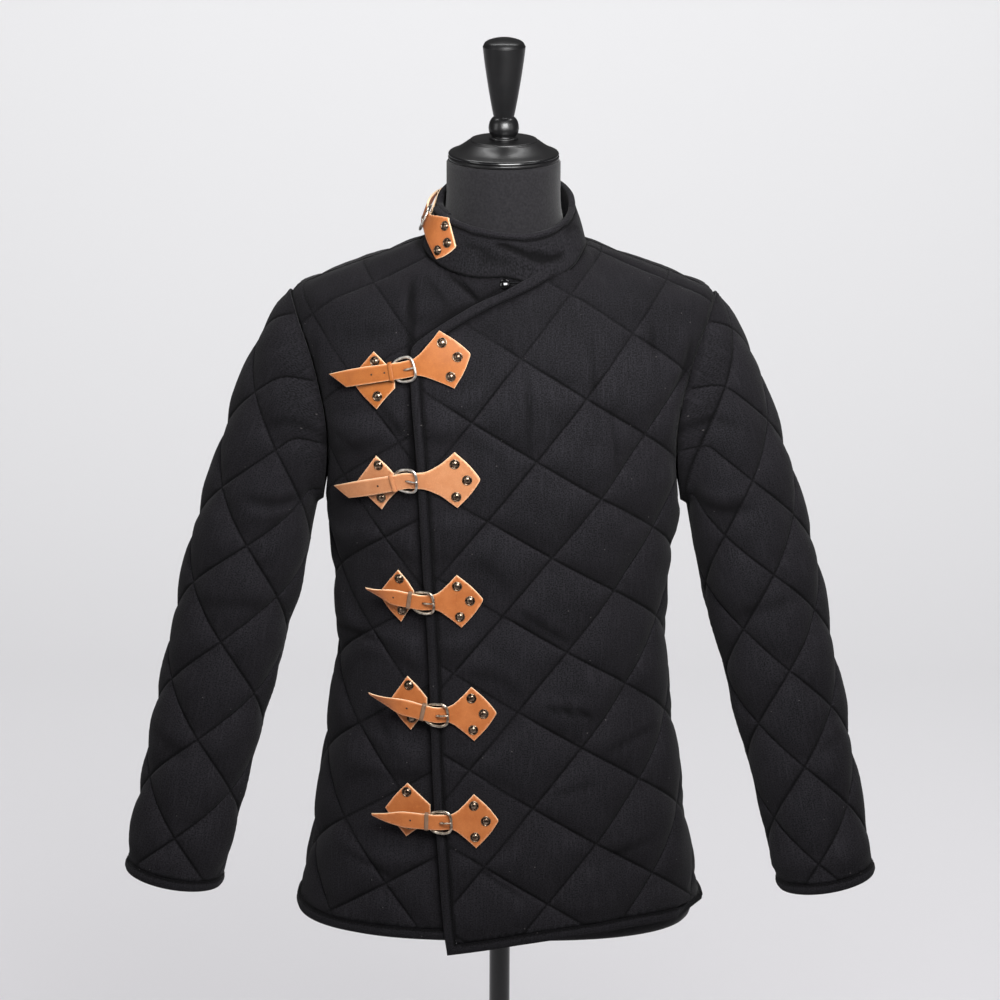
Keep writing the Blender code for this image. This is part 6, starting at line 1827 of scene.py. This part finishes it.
# %% The neck button
def build_button():
    """A domed button with a rolled rim, and its thin thread loop."""
    x, z, radius, thick = BUTTON
    flat = on_front([(x, z)])[0]
    profile = [(0.22, 0.98), (0.44, 0.91), (0.62, 0.80), (0.77, 0.66), (0.88, 0.52), (0.96, 0.38),
               (1.0, 0.26), (0.97, 0.12), (0.80, 0.03)]
    rows, sides = len(profile), 28
    turn = np.arange(sides) * 2 * math.pi / sides
    circle = np.stack([np.cos(turn), np.sin(turn)], axis=1)
    vertices = [FRONT.place(flat + radius * share * circle, np.full(sides, WALL + thick * up))
                for share, up in profile]
    vertices.append(FRONT.place(np.array([flat, flat]), np.array([WALL + thick, WALL])))
    faces = ring_faces(rows, sides, inwards=True)
    for k in range(sides):
        n = (k + 1) % sides
        faces += [(rows * sides, k, n), (rows * sides + 1, (rows - 1) * sides + n, (rows - 1) * sides + k)]
    new_piece("neck_button_horn", np.vstack(vertices), faces, [HORN], "button", ["neck_button"])
    line = [(0.0, 0.0), (0.006, 0.0012), (0.012, 0.0010), (0.018, 0.0), (0.012, -0.0012), (0.006, -0.0014)]
    path = even(np.array(line) + flat, 0.0012)
    points, _, out = directions(FRONT.place, path, (1.0, 0.0), np.full(len(path), WALL + 0.0012))
    wire_piece("button_loop", points, out, 0.0006, 0.0006, 8, THREAD, (), closed=False)


build_button()

# %% [markdown]
# ## The dress form and its stand
# The form is a smooth torso in charcoal jersey, which follows the cloth's inside with a little room. Its
# neck ends in a turned cap and a finial in black lacquer. Turned pieces are made from a half outline, spun
# round.

# %% The form
def build_form():
    """A smooth closed torso that ends in a short neck."""
    table = np.array(FORM_ROOM)
    rounding = np.array([0.0, 0.0012, 0.0035, 0.007, 0.012])
    heights = np.r_[FORM_BOTTOM + rounding, np.arange(0.72, FORM_TOP - 0.004, 0.008),
                    FORM_TOP - np.array([0.003, 0.001, 0.0])]
    trims = np.interp(heights, np.r_[FORM_BOTTOM + rounding, FORM_TOP - 0.003, FORM_TOP],
                      [0.0075, 0.0042, 0.0020, 0.0006, 0.0, 0.0, 0.0020])
    sides, round_by = 144, 0.16
    vertices, flats = [], []
    for z, trim in zip(heights, trims):
        room = float(smooth(table[:, 0], table[:, 1], z))
        for turn in 2 * math.pi * np.arange(sides) / sides:
            near = math.cos(turn) >= -1e-9
            run = ring(z, near)[2]
            local = turn if near else turn - math.pi
            index = abs(math.atan2(math.sin(local), math.cos(local))) / (TURN[1] - TURN[0])
            u = math.copysign(np.interp(index, np.arange(len(run)), run), math.sin(local))
            point = (FRONT if near else BACK).point_at(*grid_place(u, min(z, Z_GRID[-1])), -room)
            out = math.hypot(point[0], point[1])
            scale = (out - trim) / out
            level_z = z if z > Z_GRID[-1] or trim else point[2]
            vertices.append((point[0] * scale, point[1] * scale, level_z))
            flats.append((turn * round_by, z))
    faces = ring_faces(len(heights), sides)
    flats = np.array(flats)
    uv = [flats[list(face)] for face in faces]
    for k in range(sides - 1, len(faces), sides):    # the last column's far side is one turn on
        uv[k] = uv[k] + np.outer([0, 1, 1, 0], (2 * math.pi * round_by, 0.0))
    for start, flip in ((0, True), ((len(heights) - 1) * sides, False)):
        vertices.append(tuple(np.mean(vertices[start:start + sides], axis=0)))
        for k in range(sides):
            corners = (start + k, start + (k + 1) % sides, len(vertices) - 1)
            faces.append(corners[::-1] if flip else corners)
            uv.append([vertices[i][:2] for i in faces[-1]])
    return new_piece("torso_form", vertices, faces, [JERSEY], "form_cloth", ["form_torso"], uv=uv)


FORM = build_form()

# %% Turned pieces
def turned(name, profile, material, slot, node, sides, middle_y=0.0, polished=(9.0, 9.0)):
    """A half outline spun about an upright axis, with a polished band between two heights."""
    inner = profile[1:-1]
    vertices = [(r * math.cos(t), middle_y + r * math.sin(t), z)
                for r, z in inner for t in np.arange(sides) * 2 * math.pi / sides]
    faces = ring_faces(len(inner), sides, inwards=True)
    for start, (_, z), first in ((0, profile[0], True), ((len(inner) - 1) * sides, profile[-1], False)):
        vertices.append((0.0, middle_y, z))
        for k in range(sides):
            corners = (start + k, start + (k + 1) % sides, len(vertices) - 1)
            faces.append(corners if first else corners[::-1])
    heights = np.array([np.mean([vertices[i][2] for i in face]) for face in faces])
    kinds = ((heights > polished[0]) & (heights < polished[1])).astype(int)
    new_piece(name, vertices, faces, [material, POLE_GLOSS], slot, [node], kinds=kinds, sharp=32)


def rounded(points, step):
    """A half outline with a smooth curve through its points."""
    return [tuple(p) for p in even(points, step)]


def raised(profile, by):
    """A half outline moved up."""
    return [(r, by + h) for r, h in profile]

# %% Neck cap and finial
cap_foot = FORM_TOP + SEAM_GAP
cap = [(0.0, 0.0222), (0.0352, 0.0222), (0.0362, 0.0219), (0.0368, 0.0213), (0.0370, 0.0206),
       (0.0378, 0.0200)]
cap += rounded([(0.0392, 0.0195), (0.0460, 0.0146), (0.0520, 0.0110), (0.0565, 0.0090), (0.0592, 0.0078)],
               0.0012)
cap += rounded([(0.0601, 0.0068), (0.0604, 0.0058), (0.0599, 0.0050)], 0.0005)
cap += [(0.0590, 0.0046)]
cap += rounded([(0.0597, 0.0042), (0.0605, 0.0030), (0.0605, 0.0018), (0.0597, 0.0004)], 0.0005)
cap += [(0.0588, 0.0), (0.0, 0.0)]
turned("cap_lacquer", raised(cap, cap_foot), LACQUER, "black_turned_wood", "neck_cap", 128, NECK_MIDDLE,
       (cap_foot + 0.0046, cap_foot + 0.0080))
finial = [(0.0, 0.1330)]
finial += rounded([(0.0004, 0.1330), (0.0070, 0.1328), (0.0140, 0.1313), (0.0205, 0.1283), (0.0233, 0.1235)],
                  0.001)
finial += rounded([(0.0233, 0.1235), (0.0215, 0.1080), (0.0165, 0.0750), (0.0125, 0.0530), (0.0112, 0.0470)],
                  0.002)[1:]
finial += rounded([(0.0116, 0.0462), (0.0135, 0.0444), (0.0157, 0.0400), (0.0166, 0.0345), (0.0160, 0.0300),
                   (0.0138, 0.0262)], 0.0008)
finial += [(0.0132, 0.0255), (0.0134, 0.0250)]
finial += rounded([(0.0150, 0.0246), (0.0158, 0.0237), (0.0158, 0.0226)], 0.0004) + [(0.0, 0.0225)]
turned("finial_lacquer", raised(finial, cap_foot), LACQUER, "black_turned_wood", "finial", 96, NECK_MIDDLE)

# %% Pole and base
base_top = BASE_THICK + 0.020
pole = [(0.0, FORM_BOTTOM - SEAM_GAP), (POLE_RADIUS - 0.0006, FORM_BOTTOM - SEAM_GAP),
        (POLE_RADIUS, FORM_BOTTOM - 0.001), (POLE_RADIUS, 0.36), (POLE_RADIUS, base_top + 0.001),
        (POLE_RADIUS - 0.0005, base_top + SEAM_GAP), (0.0, base_top + SEAM_GAP)]
turned("pole_gloss", pole, POLE_GLOSS, "black_metal", "pole", 64)
socket = [(0.0200, base_top), (0.0208, base_top - 0.0004), (0.0214, base_top - 0.0012),
          (0.0222, base_top - 0.006), (0.0250, BASE_THICK + 0.0045), (0.0310, BASE_THICK + 0.0022),
          (0.0400, BASE_THICK + 0.001)]
plate = [(0.1000, BASE_THICK - 0.001), (BASE_RADIUS - 0.010, BASE_THICK - 0.0038),
         (BASE_RADIUS - 0.004, BASE_THICK - 0.0055), (BASE_RADIUS - 0.001, BASE_THICK - 0.0085),
         (BASE_RADIUS, 0.0045), (BASE_RADIUS - 0.0004, 0.0012), (BASE_RADIUS - 0.0016, 0.0)]
base = [(0.0, base_top)] + socket + plate + [(0.0, 0.0)]
turned("base_gloss", base, POLE_GLOSS, "black_metal", "base", 128)

def declare(panel, *others):
    thing, outline = panel
    width, length = (float(side) for side in outline.max(axis=0) - outline.min(axis=0))
    area = float(min(abs(twice_area(outline)) / 2, width * length))
    print(thing.name, "cut", round(width, 3), "by", round(length, 3), "area", round(area, 4))


declare(LEFT_FRONT, "left_front_binding", "left_front_stitches", "left_front_edge_stitches")
declare(RIGHT_FRONT, "right_front_binding", "right_front_stitches", "right_front_hem_stitches")
declare(BACK_PANEL, "back_binding", "back_stitches", "back_hem_stitches")
for side, sleeve in SLEEVES.items():
    declare(sleeve, side + "_cuff_binding", side + "_sleeve_stitches", side + "_cuff_stitches")
declare(COLLAR_BAND, "collar_stitches")

# %% [markdown]
# ## Floor, light and camera
# A pale floor curves up into a low backdrop. Large soft lights on both sides and above keep the shadows
# faint, as black cloth needs broad light to show its relief.

# %% Floor and backdrop
def build_floor():
    """A pale floor that curves up behind the object, to a rim low enough to look over from behind."""
    line = [(-9.0, 0.0), (3.0, 0.0)]
    rim = math.radians(62.0)
    line += [(3.0 + 2.0 * math.sin(t), 2.0 - 2.0 * math.cos(t)) for t in np.linspace(0.05, rim, 11)]
    mesh = bpy.data.meshes.new("studio_floor")
    mesh.from_pydata([(x, y, z) for y, z in line for x in (-9.0, 9.0)], [],
                     [(2 * k, 2 * k + 1, 2 * k + 3, 2 * k + 2) for k in range(len(line) - 1)])
    mesh.shade_smooth()
    made = Finish("pale_paper", (0.80, 0.80, 0.82), 0.9)
    # Painted light: the floor is painted darker in front of and under the object and paler towards the
    # backdrop.
    place = made.node("ShaderNodeTexCoord").outputs["Object"]
    depth = made.node("ShaderNodeSeparateXYZ", Vector=place).outputs[1]
    away = made.node("ShaderNodeMapRange", Value=depth, From_Min=1.2, From_Max=5.0).outputs[0]
    made.colour(made.shades(away, 0.0, 1.0, [(0.735, 0.723, 0.750), (0.790, 0.790, 0.802)]))
    mesh.materials.append(made.material)
    in_scene("studio_floor", mesh)


build_floor()

# %% Lights
def area_light(name, place, target, power, wide, tall):
    """A soft light at a place, aimed at a target; its power is in watts."""
    data = bpy.data.lights.new(name, "AREA")
    data.shape = "RECTANGLE"
    data.size, data.size_y, data.energy = wide, tall, power
    light = in_scene(name, data)
    light.location = place
    light.rotation_euler = (Vector(target) - Vector(place)).to_track_quat("-Z", "Y").to_euler()


world = bpy.data.worlds.new("soft_room")
world.use_nodes = True
world.node_tree.nodes["Background"].inputs[0].default_value = (1.0, 0.99, 1.0, 1.0)
world.node_tree.nodes["Background"].inputs[1].default_value = 0.09
bpy.context.scene.world = world
area_light("key_close", (0.22, -0.98, 2.0), (0.0, 0.0, 1.27), 31.0, 0.8, 0.5)
area_light("key_front", (0.4, -2.3, 2.75), (0.0, 0.0, 1.30), 12.0, 1.1, 0.8)
area_light("side_left", (-2.6, -1.4, 2.1), (0.0, 0.0, 1.15), 20.0, 1.0, 2.0)
area_light("side_right", (2.6, -1.4, 2.1), (0.0, 0.0, 1.15), 12.0, 1.0, 2.0)
area_light("backdrop_light", (0.0, 0.9, 4.6), (0.0, 5.0, 1.6), 256.0, 5.0, 1.2)
bpy.context.scene.view_settings.view_transform = "Standard"

# %% Camera
RISE, AWAY, AIM = math.radians(16.0), 5.1, 1.18
data = bpy.data.cameras.new("camera")
data.sensor_width = 36.0
data.lens = 36.0 * 900.0 * AWAY / 1000.0
data.shift_x = -0.0019
camera = in_scene("camera", data)
camera.location = (0.0, -AWAY * math.cos(RISE), AIM + AWAY * math.sin(RISE))
tilted = Matrix.Rotation(math.pi / 2 - RISE, 3, "X") @ Matrix.Rotation(math.radians(0.29), 3, "Z")
camera.rotation_euler = tilted.to_euler()
bpy.context.scene.camera = camera
